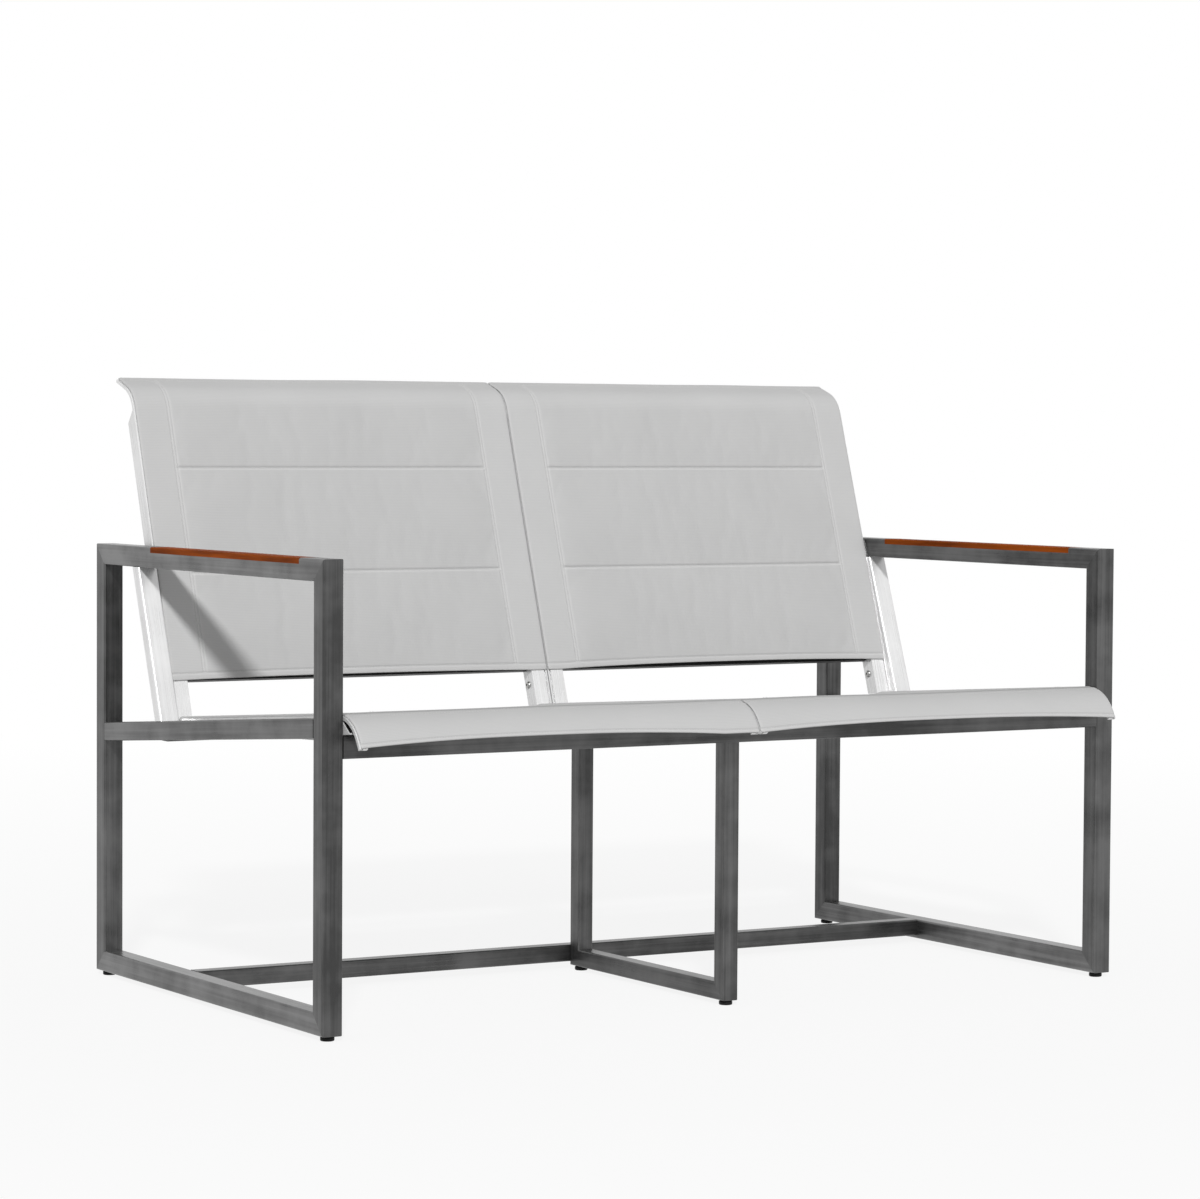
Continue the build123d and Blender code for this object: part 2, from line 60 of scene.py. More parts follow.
# Lines of the sling rails in the side plane: start, heading in degrees, then legs as
# (length, 0) for a straight run and (radius, degrees) for a bend
BACK_START = (FRONT + 0.5417, 0.441475)
BACK_HEADING = 71.5
BACK_LEGS = ((0.412, 0.0), (0.047, -52.0), (0.033, 0.0))
SEAT_START = (FRONT - 0.045526, 0.387379)
SEAT_HEADING = 59.99
SEAT_LEGS = ((0.012, 0.0), (0.059, -64.3), (0.5332, 0.0))
SEAT_LENGTH = 0.5786

# Panels between the slots of two rails
SLOT_INSET = 0.0034
RIM = 0.0279
BAND = 0.054
STAND = 0.0003
HEM_ROUND = 0.0015

# Edge of a panel where it turns down into the slot: distance and height of the front skin,
# distance and height of the back skin, from the middle of the slot and the rail's face
TUCK = np.array(
    (
        (-0.0006, -0.0009, 0.0006, -0.0009),
        (-0.0008, 0.0003, 0.0006, -0.0002),
        (-0.0012, 0.0009, 0.0008, 0.0002),
        (-0.0013, 0.0017, 0.0012, 0.0003),
        (-0.0008, 0.0026, 0.0018, 0.0003),
        (0.0004, 0.0031, 0.0026, 0.0003),
        (0.0018, 0.0033, 0.0035, 0.0003),
        (0.0040, 0.0033, 0.0045, 0.0003),
    )
)
# Further reach of the rolled edge where the two panels meet
MEETING = np.array((0.0, 0.0, -0.0013, -0.0019, -0.0019, -0.0016, -0.0008, 0.0))

# Seams as bells across them, each with strength, offset and width. A shade is painted into the cloth's
# colour:
# painted shade in the seam where it is positive, a painted highlight beside it where it is negative. A
# dip counts in depths of a crease.
CREASE_SHADE = ((0.3, 0.0010, 0.0014), (-1.0, -0.0021, 0.0019))
HEM_SHADE = ((0.6, 0.0008, 0.0012), (-0.6, -0.0016, 0.0014))
UPRIGHT_SHADE = ((0.35, 0.0, 0.0010), (-0.4, 0.0019, 0.0009))
CREST_SHADE = ((1.0, 0.0, 0.0045),)
CREASE_DIP = ((-1.0, 0.0006, 0.0016), (0.4, -0.0024, 0.0016))
HEM_DIP = ((-0.4, 0.0, 0.0016),)
UPRIGHT_DIP = ((-0.35, 0.0, 0.0014),)
CREST_DIP = ((-0.6, 0.0, 0.0030),)
# Share of the painted seam shade and highlight that the back skin lacks
BACK_SHADE = 0.5

# Weave: spacing of its threads along the run and across it
WEFT_PITCH = 0.0024
WARP_PITCH = 0.0013

# Puckers beside a crease: strength and length of each wave, and their distance from the crease
PUCKER_WAVES = ((1.0, 0.017), (0.6, 0.0111))
PUCKER_BESIDE = 0.006

# Slow unevenness: turns of each wave across and along, in radians per metre
SLOW_WAVES = ((9, 11), (16, 16), (23, 21), (30, 26))

# Padding: run of its rounded edge, of a crease's end, of its first and last rise and of the arch,
# then the place of the back's last seam and the share of the sag that grows evenly
PAD_EDGE = 0.012
CREASE_END = 0.004
PAD_RISE = 0.014
ARCH_FADE = 0.09
BACK_LAST_SEAM = 0.4400
STRAIGHT_SAG = 0.45

# Simulation of the padding: distance that counts as none, frames stepped, percentile of the
# heights that counts as full, and settings of the cloth
SAME = 1e-6
FRAMES = 20
FULL_PERCENT = 97
CLOTH = {
    "quality": 6,
    "mass": 0.3,
    "tension_stiffness": 15.0,
    "compression_stiffness": 15.0,
    "shear_stiffness": 5.0,
    "bending_stiffness": 0.4,
    "shrink_min": -0.012,
    "use_pressure": True,
    "uniform_pressure_force": 4.0,
}

# Mesh stations beside a line, and least spaces: at an end, beside a line, between any two
# stations and inside a panel's tucked edge
BESIDE = np.array((-60, -45, -33, -24, -16, -8, 0, 8, 16, 24, 33, 45, 60)) * 1e-4
END_SPACE = 0.002
LINE_SPACE = 0.0012
LEAST_SPACE = 0.0003
EDGE_SPACE = 0.003

# Stitches: place below a crease, space at the panel's edges, reach over which the cloth's slope is
# taken, sides, place of the two rings and lift, both as shares of half a stitch
STITCH_BELOW = 0.0014
STITCH_EDGE = 0.006
STITCH_REACH = 0.0004
STITCH_SIDES = 5
STITCH_WAIST = 0.6
STITCH_LIFT = 0.3


class Run:
    """Side-plane line of straight runs and bends, each starting where the last one ends."""

    def __init__(self, start, heading, legs):
        self.legs = []
        done = 0.0
        y, z = start
        angle = math.radians(heading)
        for size, turn in legs:
            bend = math.radians(turn)
            length = size * abs(bend) if turn else size
            self.legs.append((done, y, z, angle, size, bend))
            y, z, _, _ = (float(v) for v in self.leg_at(self.legs[-1], np.array(length)))
            angle += bend
            done += length
        self.length = done

    @staticmethod
    def leg_at(leg, d):
        """Point and left normal at a distance along one leg: start plus heading times distance on
        a straight run, start plus radius times the change of the normal on a bend."""
        _, y, z, angle, size, bend = leg
        side = math.copysign(size, bend)
        turned = angle + (d / side if bend else d * 0.0)
        n_y, n_z = -np.sin(turned), np.cos(turned)
        if not bend:
            return y + d * math.cos(angle), z + d * math.sin(angle), n_y, n_z
        return y + side * (-math.sin(angle) - n_y), z + side * (math.cos(angle) - n_z), n_y, n_z

    def at(self, s, off):
        """Depth and height at arrays of distance along the run and offset to its left."""
        ends = [leg[0] for leg in self.legs[1:]] + [np.inf]
        starts = [-np.inf] + ends[:-1]
        y = np.zeros(np.broadcast(s, off).shape)
        z = np.zeros_like(y)
        for leg, low, high in zip(self.legs, starts, ends):
            py, pz, ny, nz = self.leg_at(leg, s - leg[0])
            here = (s >= low) & (s < high)
            y = np.where(here, py + off * ny, y)
            z = np.where(here, pz + off * nz, z)
        return y, z


BACK_RUN = Run(BACK_START, BACK_HEADING, BACK_LEGS)
SEAT_RUN = Run(SEAT_START, SEAT_HEADING, SEAT_LEGS)
SEAT_BEND = SEAT_LEGS[0][0] + SEAT_LEGS[1][0] * math.radians(-SEAT_LEGS[1][1])


class Panel:
    """One quilted sling: skins in front of and behind a run, between two slots.

    A point is set by w, its distance from the middle of the bench, and s, its distance along the
    run. The front skin stands off the run by the cloth's thickness plus the padding, less a
    crease along each seam and, on the seat, the sag of the hammock.
    """

    def __init__(self, name, hand, run, kind, sizes):
        self.name = name
        self.hand = hand
        self.run = run
        self.sizes = sizes
        place = "left" if hand < 0 else "right"
        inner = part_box(f"{kind}_rail_{place}_middle")
        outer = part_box(f"{kind}_rail_{place}_end")
        self.inner = min(abs(inner[0].x), abs(inner[1].x)) + SLOT_INSET
        self.outer = max(abs(outer[0].x), abs(outer[1].x)) - SLOT_INSET
        side = 0 if hand < 0 else 1
        if kind == "back":
            self.length = run.length
            self.seams = np.array((sizes.hem, *sizes.back_quilting, BACK_LAST_SEAM))
            self.hems = (sizes.hem, run.length - sizes.hem)
            self.lift = (sizes.back_crown, sizes.back_belly - sizes.channel_depth)
            self.arch, self.sag = sizes.back_arch[side], 0.0
            self.bow_from = RIM
            self.pad_low, self.pad_high = self.hems
            self.full_to = BACK_LEGS[0][0]
            self.crests = ()
        else:
            self.length = SEAT_LENGTH
            self.seams = np.linspace(SEAT_BEND + sizes.hem, SEAT_LENGTH - sizes.hem, 4)
            self.hems = (sizes.lip_hem, sizes.crest_seam, float(self.seams[-1]))
            self.lift = (sizes.seat_crown, sizes.seat_belly - sizes.channel_depth)
            self.arch, self.sag = sizes.seat_arch, sizes.seat_sag
            self.bow_from = sizes.seat_bow[side]
            self.pad_low, self.pad_high = self.seams[0], self.seams[-1]
            self.full_to = self.pad_high
            self.crests = (sizes.crest,)
        self.creases = tuple(float(seam) for seam in self.seams[1:3])
        self.waves = np.random.default_rng(11 if hand < 0 else 23).uniform(0, 2 * np.pi, (4, 2))
        self.settled = None

    def inside_pad(self, w):
        """Distance inside the padding, negative on the side bands."""
        return np.minimum(w, INSIDE - w) - BAND

    def share(self, w):
        """Share of full padding across the panel: one less a falling exponential from its edge."""
        return 1 - np.exp(-np.maximum(self.inside_pad(w), 0) / PAD_EDGE)

    def hang(self, w):
        """Share of full sag across the panel: one less the cube of the distance from its middle."""
        away = np.abs(w - INSIDE / 2) / (INSIDE / 2 - RIM)
        return np.maximum(0.0, 1 - away**3)

    def bow(self, w):
        """Share of full arch along a hem: one less a power of the distance from the arch's middle."""
        middle = (self.bow_from + INSIDE) / 2
        away = np.abs(w - middle) / (INSIDE - middle)
        return np.maximum(0.0, 1 - away**2.4)

    def swell(self, s):
        """Share of full crown along the run: one less the cube of the distance from mid channel."""
        i = np.clip(np.searchsorted(self.seams, s) - 1, 0, len(self.seams) - 2)
        t = (s - self.seams[i]) / (self.seams[i + 1] - self.seams[i])
        return 1 - np.abs(2 * np.clip(t, 0, 1) - 1) ** 3

    def filled(self, s):
        """One over the padding, easing to nothing over a fingertip before its first seam and, on
        the back, over the roll at the top."""
        return np.clip(1 - np.maximum(self.seams[0] - s, s - self.full_to) / PAD_RISE, 0, 1)

    def padding(self, w, s, skin):
        """Height of the padding on the front (0) or back (1) skin, settled if it was simulated."""
        if self.settled is None:
            return self.lift[skin] * self.share(w) * self.swell(s)
        rows, columns, heights = self.settled
        return between(rows, columns, heights[skin], s, w)

    def sink(self, w, s):
        """Sag of the seat: hang across, times an easy ramp behind the front roll."""
        t = np.clip((s - self.seams[0]) / self.sizes.sag_reach, 0, 1)
        return self.sag * self.hang(w) * (STRAIGHT_SAG * t + (1 - STRAIGHT_SAG) * eased(t))

    def along(self, w, s):
        """Distance along the run with the arch of the lower hem, fading out above it."""
        return s + self.arch * self.bow(w) * np.clip(1 - s / ARCH_FADE, 0, 1) ** 2

    def crease_share(self, w):
        """Share of a full crease across the panel: a straight rise from the edge of the padding."""
        return np.clip(self.inside_pad(w) / CREASE_END, 0, 1)

    def beside_pad(self, s):
        """One along the upright seams, nothing beyond their ends."""
        return (s > self.pad_low) & (s < self.pad_high)

    def seam(self, w, s):
        """Painted shade along the seams, a sum of narrow bells: dark in each crease, a painted highlight
        below it.
        """
        shade = 0 * w + 0 * s
        for crease in self.creases:
            shade = shade + self.crease_share(w) * bells(s - crease, CREASE_SHADE)
        for hem in self.hems:
            shade = shade + bells(s - hem, HEM_SHADE)
        for line in self.sizes.seam_lines():
            away = np.abs(self.inside_pad(w) - line)
            shade = shade + self.beside_pad(s) * bells(away, UPRIGHT_SHADE)
        for crest in self.crests:
            shade = shade + self.sizes.painted_crest_shade * bells(s - crest, CREST_SHADE)
        return shade

    def front(self, w, s):
        """Height of the front skin: thickness, padding, creases, puckers and a slow unevenness."""
        sizes = self.sizes
        pad = self.crease_share(w)
        starts = (self.waves[0, 0], 0.0)
        pucker = sum(
            strength * np.sin(2 * np.pi * w / length + start)
            for (strength, length), start in zip(PUCKER_WAVES, starts)
        )
        rise = STAND + sizes.thickness + self.padding(w, s, 0)
        for crease in self.creases:
            away = s - crease
            rise = rise + sizes.crease * pad * bells(away, CREASE_DIP)
            rise = rise + sizes.pucker * pad * pucker * bell(np.abs(away) - PUCKER_BESIDE, PUCKER_BESIDE)
        for hem in self.hems:
            rise = rise + sizes.crease * bells(s - hem, HEM_DIP)
        for line in sizes.seam_lines():
            away = self.inside_pad(w) - line
            rise = rise + sizes.crease * self.beside_pad(s) * bells(away, UPRIGHT_DIP)
        for crest in self.crests:
            rise = rise + sizes.crease * bells(s - crest, CREST_DIP)
        loose = self.hang(w)
        for k, (a, b) in enumerate(self.waves):
            across, along = SLOW_WAVES[k]
            bend = np.sin(w * across + a) * np.sin(s * along + b)
            rise = rise + sizes.unevenness * loose * bend / (k + 1)
        return rise - self.sink(w, s)

    def back(self, w, s):
        """Height of the back skin: below the run by the padding behind the seams and the swell."""
        quilt = self.sizes.channel_depth * self.share(w) * np.interp(s, self.seams, (0, 1, 1, 0))
        return STAND - quilt - self.padding(w, s, 1) - self.sink(w, s)

    def place(self, w, s, off):
        """Points in space at distances across and along, and heights off the run."""
        y, z = self.run.at(self.along(w, s), off)
        return np.stack([self.hand * w + 0 * y, y, z], -1)

    def on_front(self, w, s):
        """Points on the front skin."""
        return self.place(w, s, self.front(w, s))


def bell(x, width):
    """Bell curve: falling exponential of the square of distance over width."""
    return np.exp(-((x / width) ** 2))


def bells(away, parts):
    """Sum of bell curves: each part's strength times a bell of its width about its offset."""
    return sum(strength * bell(away - offset, width) for strength, offset, width in parts)


def eased(t):
    """Smooth step: three times the square less twice the cube."""
    return t * t * (3 - 2 * t)


def between(rows, columns, grid, s, w):
    """Values of a grid between its rows and columns, each neighbour weighed by nearness."""
    i = np.clip(np.searchsorted(rows, s) - 1, 0, len(rows) - 2)
    j = np.clip(np.searchsorted(columns, w) - 1, 0, len(columns) - 2)
    u = np.clip((s - rows[i]) / (rows[i + 1] - rows[i]), 0, 1)
    v = np.clip((w - columns[j]) / (columns[j + 1] - columns[j]), 0, 1)
    low = grid[i, j] * (1 - v) + grid[i, j + 1] * v
    high = grid[i + 1, j] * (1 - v) + grid[i + 1, j + 1] * v
    return low * (1 - u) + high * u


def stations(stops, step):
    """Stations through every stop, about a step apart."""
    runs = [np.linspace(a, b, max(1, round((b - a) / step)) + 1)[:-1] for a, b in zip(stops, stops[1:])]
    return np.append(np.concatenate(runs), stops[-1])


def settle(panel, scene):
    """Blows up the padding by cloth simulation and keeps its heights on a grid.

    Two flat skins, joined along their edges, are held on the bands, the hems and the quilting
    seams while pressure between them swells the channels. The heights are scaled to the crown and
    belly of the panel, so no point moves further than those.
    """
    sizes = panel.sizes
    rows = stations((0.0, *panel.seams, panel.length), sizes.cell)
    columns = stations((panel.inner, BAND, INSIDE - BAND, panel.outer), sizes.cell)
    s, w = np.meshgrid(rows, columns, indexing="ij")
    thick = sizes.thickness
    foot = panel.place(w, s, STAND - panel.sink(w, s))
    normal = panel.place(w, s, 1 + STAND - panel.sink(w, s)) - foot
    points = np.concatenate([(foot + thick * normal).reshape(-1, 3), foot.reshape(-1, 3)])
    n, m = s.shape
    index = np.arange(n * m).reshape(n, m)
    low = np.stack([index[:-1, :-1], index[:-1, 1:], index[1:, 1:], index[1:, :-1]], -1).reshape(-1, 4)
    rim = np.concatenate([index[0], index[1:, -1], index[-1, -2::-1], index[-2:0:-1, 0]])
    after = np.roll(rim, -1)
    wall = np.stack([rim, rim + n * m, after + n * m, after], -1)
    faces = np.concatenate([low, low[:, ::-1] + n * m, wall])
    mesh = closed_mesh("padding", points, faces.tolist())
    piece = bpy.data.objects.new("padding", mesh)
    scene.collection.objects.link(piece)
    held = (s < panel.seams[0]) | (s > panel.seams[-1]) | (panel.inside_pad(w) <= SAME)
    for seam in panel.seams:
        held = held | (np.abs(s - seam) < SAME)
    pins = piece.vertex_groups.new(name="held")
    pins.add(np.flatnonzero(np.tile(held.ravel(), 2)).tolist(), 1.0, "REPLACE")
    cloth = piece.modifiers.new("cloth", "CLOTH")
    cloth.settings.vertex_group_mass = "held"
    for key, value in CLOTH.items():
        setattr(cloth.settings, key, value)
    cloth.settings.effector_weights.gravity = 0.0
    cloth.collision_settings.use_collision = False
    for step in range(1, FRAMES + 1):
        scene.frame_set(step)
    blown = piece.evaluated_get(bpy.context.evaluated_depsgraph_get()).to_mesh()
    moved = np.zeros(2 * n * m * 3, dtype=np.float32)
    blown.vertices.foreach_get("co", moved)
    scene.frame_set(1)
    bpy.data.objects.remove(piece)
    bpy.data.meshes.remove(mesh)
    heights = np.einsum("kijc,ijc->kij", moved.reshape(2, n, m, 3) - foot, normal)
    ease = eased(np.clip((panel.seams[-1] - s) / sizes.fade, 0, 1))
    swell = (heights[0] - thick, -heights[1])
    scaled = [
        lift * ease * np.clip(part / np.percentile(part[~held], FULL_PERCENT), 0.0, 1.0)
        for lift, part in zip(panel.lift, swell)
    ]
    panel.settled = (rows, columns, scaled)


def spaced(low, high, step, lines):
    """Sorted stations from low to high, a step apart and closer beside each given line."""
    even = np.linspace(low, high, int(round((high - low) / step)) + 1)
    close = (np.asarray(lines)[:, None] + BESIDE).ravel()
    close = close[(close > low + END_SPACE) & (close < high - END_SPACE)]
    clear = np.abs(even[:, None] - close[None, :]).min(1) > LINE_SPACE
    clear[[0, -1]] = True
    merged = np.sort(np.concatenate([even[clear], close]))
    return merged[np.insert(np.diff(merged) > LEAST_SPACE, 0, True)]


def closed_mesh(name, points, faces):
    """Mesh of a closed shape, its faces turned outwards."""
    mesh = bpy.data.meshes.new(name)
    mesh.from_pydata(points.tolist(), [], faces)
    shell = bmesh.new()
    shell.from_mesh(mesh)
    bmesh.ops.recalc_face_normals(shell, faces=shell.faces)
    shell.to_mesh(mesh)
    shell.free()
    return mesh


def add_piece(name, points, faces, slot, material, smooth=True):
    """Closed mesh object at the origin that rides on the bench."""
    mesh = closed_mesh(name, points, faces)
    mesh.polygons.foreach_set("use_smooth", np.full(len(mesh.polygons), smooth))
    mesh.materials.append(material)
    piece = bpy.data.objects.new(name, mesh)
    bpy.context.scene.collection.objects.link(piece)
    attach(piece, "root")
    return piece


def add_values(mesh, u, v, fields):
    """UV map in metres along the cloth and the named values at each point."""
    corner = np.zeros(len(mesh.loops), dtype=np.int32)
    mesh.loops.foreach_get("vertex_index", corner)
    layer = mesh.uv_layers.new(name="cloth")
    layer.data.foreach_set("uv", np.stack([u, v], -1)[corner].ravel().astype(np.float32))
    for name, values in fields.items():
        field = mesh.attributes.new(name, "FLOAT", "POINT")
        field.data.foreach_set("value", values.astype(np.float32))


def sew_panel(panel, material):
    """Closed skin of a panel: a ring of stations up the front, over the top hem, down the back and
    round the lower hem, carried across the width, with the ends closed between the skins."""
    sizes = panel.sizes
    lines = panel.creases + panel.hems + panel.crests
    rows = spaced(HEM_ROUND, panel.length - HEM_ROUND, sizes.grid, lines)
    turn = np.linspace(0, np.pi, 7)[1:-1]
    bulge = HEM_ROUND - HEM_ROUND * np.sin(turn)
    s = np.concatenate([rows, panel.length - bulge, rows[::-1], bulge])
    hem = (1 - np.cos(turn)) / 2
    rear = np.concatenate([np.zeros(len(rows)), hem, np.ones(len(rows)), hem[::-1]])
    pad_lines = [line + BAND for line in sizes.seam_lines()]
    pad_lines += [INSIDE - line for line in pad_lines]
    margin = TUCK[-1, 0] + EDGE_SPACE
    across = spaced(panel.inner + margin, panel.outer - margin, sizes.grid, pad_lines)
    w_front = np.concatenate([panel.inner + TUCK[:, 0] + MEETING, across, panel.outer - TUCK[::-1, 0]])
    w_back = np.concatenate([panel.inner + TUCK[:, 2], across, panel.outer - TUCK[::-1, 2]])
    level = STAND + sizes.thickness
    lift = np.concatenate([TUCK[:, 1] - level, 0 * across, TUCK[::-1, 1] - level])
    drop = np.concatenate([TUCK[:, 3] - STAND, 0 * across, TUCK[::-1, 3] - STAND])
    ring, columns = np.meshgrid(np.arange(len(s)), np.arange(len(w_front)), indexing="ij")
    s_all = s[ring]
    r_all = rear[ring]
    f = panel.front(w_front[columns], s_all) + lift[columns]
    b = panel.back(w_back[columns], s_all) + drop[columns]
    w_all = w_front[columns] * (1 - r_all) + w_back[columns] * r_all
    points = panel.place(w_all, s_all, f * (1 - r_all) + b * r_all).reshape(-1, 3)
    count = len(w_front)
    low = ring[:, :-1] * count + columns[:, :-1]
    high = np.roll(ring, -1, 0)[:, :-1] * count + columns[:, :-1]
    faces = np.stack([low, low + 1, high + 1, high], -1).reshape(-1, 4).tolist()
    n, k = len(rows), len(turn)
    for edge in (0, count - 1):
        a = np.arange(n) * count + edge
        c = (n + k + np.arange(n)[::-1]) * count + edge
        faces += np.stack([a[:-1], a[1:], c[1:], c[:-1]], -1).tolist()
        faces.append((np.arange(n - 1, n + k + 1) * count + edge).tolist())
        faces.append((np.append(np.arange(2 * n + k - 1, 2 * n + 2 * k), 0) * count + edge).tolist())
    piece = add_piece(panel.name, points, faces, "sling", material)
    fields = {
        "padding": (panel.share(w_all) * panel.filled(s_all)).ravel(),
        # The seam field carries painted shade in the seams and a painted highlight beside them, weaker
        # on the back skin
        "seam": (panel.seam(w_all, s_all) * (1 - BACK_SHADE * r_all)).ravel(),
    }
    add_values(piece.data, w_all.ravel(), s_all.ravel(), fields)
    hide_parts(panel.name.replace("cover", "sling"))


def stitch_rows(panel):
    """Centres of the stitches on one panel as arrays across, along, and the direction sewn."""
    sizes = panel.sizes
    rows = []
    edge = BAND + min(sizes.seam_lines())
    for line in panel.creases:
        w = np.arange(edge, INSIDE - edge, sizes.stitch_pitch)
        rows.append((w, np.full_like(w, line - STITCH_BELOW), 0))
    for line in panel.hems:
        w = np.arange(panel.inner + STITCH_EDGE, panel.outer - STITCH_EDGE, sizes.stitch_pitch)
        rows.append((w, np.full_like(w, line), 0))
    for line in sizes.seam_lines():
        s = np.arange(panel.pad_low, panel.pad_high, sizes.stitch_pitch)
        for w in (BAND + line, INSIDE - BAND - line):
            rows.append((np.full_like(s, w), s, 1))
    w = np.concatenate([row[0] for row in rows])
    s = np.concatenate([row[1] for row in rows])
    sewn = np.concatenate([np.full(len(row[0]), row[2]) for row in rows])
    return w, s, sewn


def sew_stitches(panel, material):
    """Rows of stitches: one small spindle, two rings and two tips, set along each stitch."""
    sizes = panel.sizes
    w, s, sewn = stitch_rows(panel)
    centre = panel.on_front(w, s)
    side = panel.on_front(w + STITCH_REACH, s) - panel.on_front(w - STITCH_REACH, s)
    up = panel.on_front(w, s + STITCH_REACH) - panel.on_front(w, s - STITCH_REACH)
    normal = np.cross(side, up) * panel.hand
    along = np.where(sewn[:, None] == 0, side, up)
    along = along / np.linalg.norm(along, axis=1, keepdims=True)
    normal = normal / np.linalg.norm(normal, axis=1, keepdims=True)
    cross = np.cross(normal, along)
    sides = STITCH_SIDES
    turn = np.linspace(0, 2 * np.pi, sides + 1)[:-1]
    half = sizes.stitch_length / 2
    thick = sizes.stitch_thick / 2
    ends = np.array((-STITCH_WAIST, STITCH_WAIST)) * half
    t = np.concatenate([np.repeat(ends, sides), (-half, half)])
    round_a = np.concatenate([np.tile(np.cos(turn), 2), (0, 0)]) * thick
    round_b = np.concatenate([np.tile(np.sin(turn), 2), (0, 0)]) * thick
    points = (
        centre[:, None, :]
        + t[None, :, None] * along[:, None, :]
        + round_a[None, :, None] * cross[:, None, :]
        + (round_b[None, :, None] + STITCH_LIFT * thick) * normal[:, None, :]
    )
    i = np.arange(sides)
    j = (i + 1) % sides
    first = 0 * i + 2 * sides
    tube = np.stack([i, j, j + sides, i + sides], -1)
    tips = np.concatenate([np.stack([j, i, first], -1), np.stack([i + sides, j + sides, first + 1], -1)])
    start = np.arange(len(w))[:, None, None] * len(t)
    faces = (tube[None] + start).reshape(-1, 4).tolist() + (tips[None] + start).reshape(-1, 3).tolist()
    name = panel.name.replace("cover", "stitching")
    add_piece(name, points.reshape(-1, 3), faces, "sling", material)


def sew_slings(scene, kind, run):
    """Both slings of the back or the seat, with their stitches."""
    cloth = quilted_cloth(f"{kind}_cloth", scene.loveseat_colours)
    thread = sewing_thread(f"{kind}_thread", scene.loveseat_colours.thread)
    for name, hand in SIDES:
        panel = Panel(f"{kind}_cover_{name}", hand, run, kind, scene.loveseat_slings)
        settle(panel, scene)
        sew_panel(panel, cloth)
        sew_stitches(panel, thread)


def turned(profile, sides, flats=0.0):
    """Closed turned shape about +X: each (distance, radius, share of hexagon) of the profile is a
    ring, whose radius is eased towards a hexagon's by its share."""
    x, r, hexed = np.array(profile).T
    angle = np.linspace(0, 2 * np.pi, sides + 1)[:-1]
    corner = np.mod(angle, np.pi / 3) - np.pi / 6
    six = flats / np.cos(corner)
    radius = r[:, None] * (1 - hexed[:, None]) + six[None, :] * hexed[:, None]
    points = np.stack([x[:, None] + 0 * radius, radius * np.cos(angle), radius * np.sin(angle)], -1)
    ring, step = np.meshgrid(np.arange(len(x) - 1), np.arange(sides), indexing="ij")
    after = (step + 1) % sides
    low = ring * sides
    faces = np.stack([low + step, low + after, low + sides + after, low + sides + step], -1)
    faces = faces.reshape(-1, 4).tolist()
    faces.append(np.arange(sides)[::-1].tolist())
    faces.append(((len(x) - 1) * sides + np.arange(sides)).tolist())
    return points.reshape(-1, 3), faces


def gather(shapes):
    """Points and faces of several shapes as one list."""
    points = []
    faces = []
    done = 0
    for shape_points, shape_faces in shapes:
        points.append(shape_points)
        faces += [[v + done for v in face] for face in shape_faces]
        done += len(shape_points)
    return np.concatenate(points), faces


class Field:
    """Socket of a node tree whose arithmetic adds Math nodes."""

    def __init__(self, tree, socket):
        self.tree = tree
        self.socket = socket

    def math(self, operation, *terms):
        """Math node of any operation on values or fields."""
        node = self.tree.nodes.new("ShaderNodeMath")
        node.operation = operation
        for place, term in zip(node.inputs, terms):
            feed(self.tree, place, term)
        return Field(self.tree, node.outputs[0])

    def within(self, low, high):
        """Value held between two bounds."""
        return self.math("MINIMUM", self.math("MAXIMUM", self, low), high)

    def __add__(self, other):
        return self.math("ADD", self, other)

    def __radd__(self, other):
        return self.math("ADD", other, self)

    def __sub__(self, other):
        return self.math("SUBTRACT", self, other)

    def __rsub__(self, other):
        return self.math("SUBTRACT", other, self)

    def __mul__(self, other):
        return self.math("MULTIPLY", self, other)

    def __rmul__(self, other):
        return self.math("MULTIPLY", other, self)


def feed(tree, socket, value):
    """Links a field to a socket, or sets the socket's own value."""
    if isinstance(value, Field):
        tree.links.new(value.socket, socket)
    else:
        socket.default_value = value


def plain_rays(tree):
    """One for what is seen directly, in a reflection or through glass, nothing for other light."""
    path = tree.nodes.new("ShaderNodeLightPath")
    seen = Field(tree, path.outputs["Is Camera Ray"])
    for kind in ("Is Glossy Ray", "Is Transmission Ray"):
        seen = seen.math("MAXIMUM", seen, Field(tree, path.outputs[kind]))
    return seen


class Finish:
    """Node tree of a material, built from fields."""

    def __init__(self, name):
        self.material = bpy.data.materials.new(name)
        self.material.use_nodes = True
        self.tree = self.material.node_tree
        self.shader = self.tree.nodes["Principled BSDF"]

    def node(self, kind, settings=None, sockets=None, output=0):
        """Any node: its settings first, then the values or links of its sockets."""
        node = self.tree.nodes.new(kind)
        for key, value in (settings or {}).items():
            setattr(node, key, value)
        for key, value in (sockets or {}).items():
            feed(self.tree, node.inputs[key], value)
        return Field(self.tree, node.outputs[output])

    def mix(self, share, first, second):
        """Colour between two colours."""
        return self.node("ShaderNodeMix", {"data_type": "RGBA"}, {0: share, 6: first, 7: second}, 2)

    def noise(self, place, scale, detail):
        """Noise at a place, stretched by a scale along each axis."""
        stretched = self.node("ShaderNodeMapping", {}, {"Vector": place, "Scale": scale})
        return self.node("ShaderNodeTexNoise", {}, {"Vector": stretched, "Scale": 1.0, "Detail": detail})

    def object_noise(self, scale, detail, tilt=0.0):
        """Noise on the piece's own coordinates, tilted about the width by degrees."""
        place = self.node("ShaderNodeTexCoord", output=3)
        turn = (math.radians(tilt), 0.0, 0.0)
        tilted = self.node("ShaderNodeMapping", {}, {"Vector": place, "Rotation": turn})
        return self.noise(tilted, scale, detail)

    def bump(self, height, strength, distance):
        """Bumped normal from a height field."""
        sockets = {"Height": height, "Strength": strength, "Distance": distance}
        return self.node("ShaderNodeBump", {}, sockets)

    def set(self, **values):
        """Values or fields of the shader's sockets, underscores standing for spaces."""
        for key, value in values.items():
            feed(self.tree, self.shader.inputs[key.replace("_", " ")], value)
        return self.material


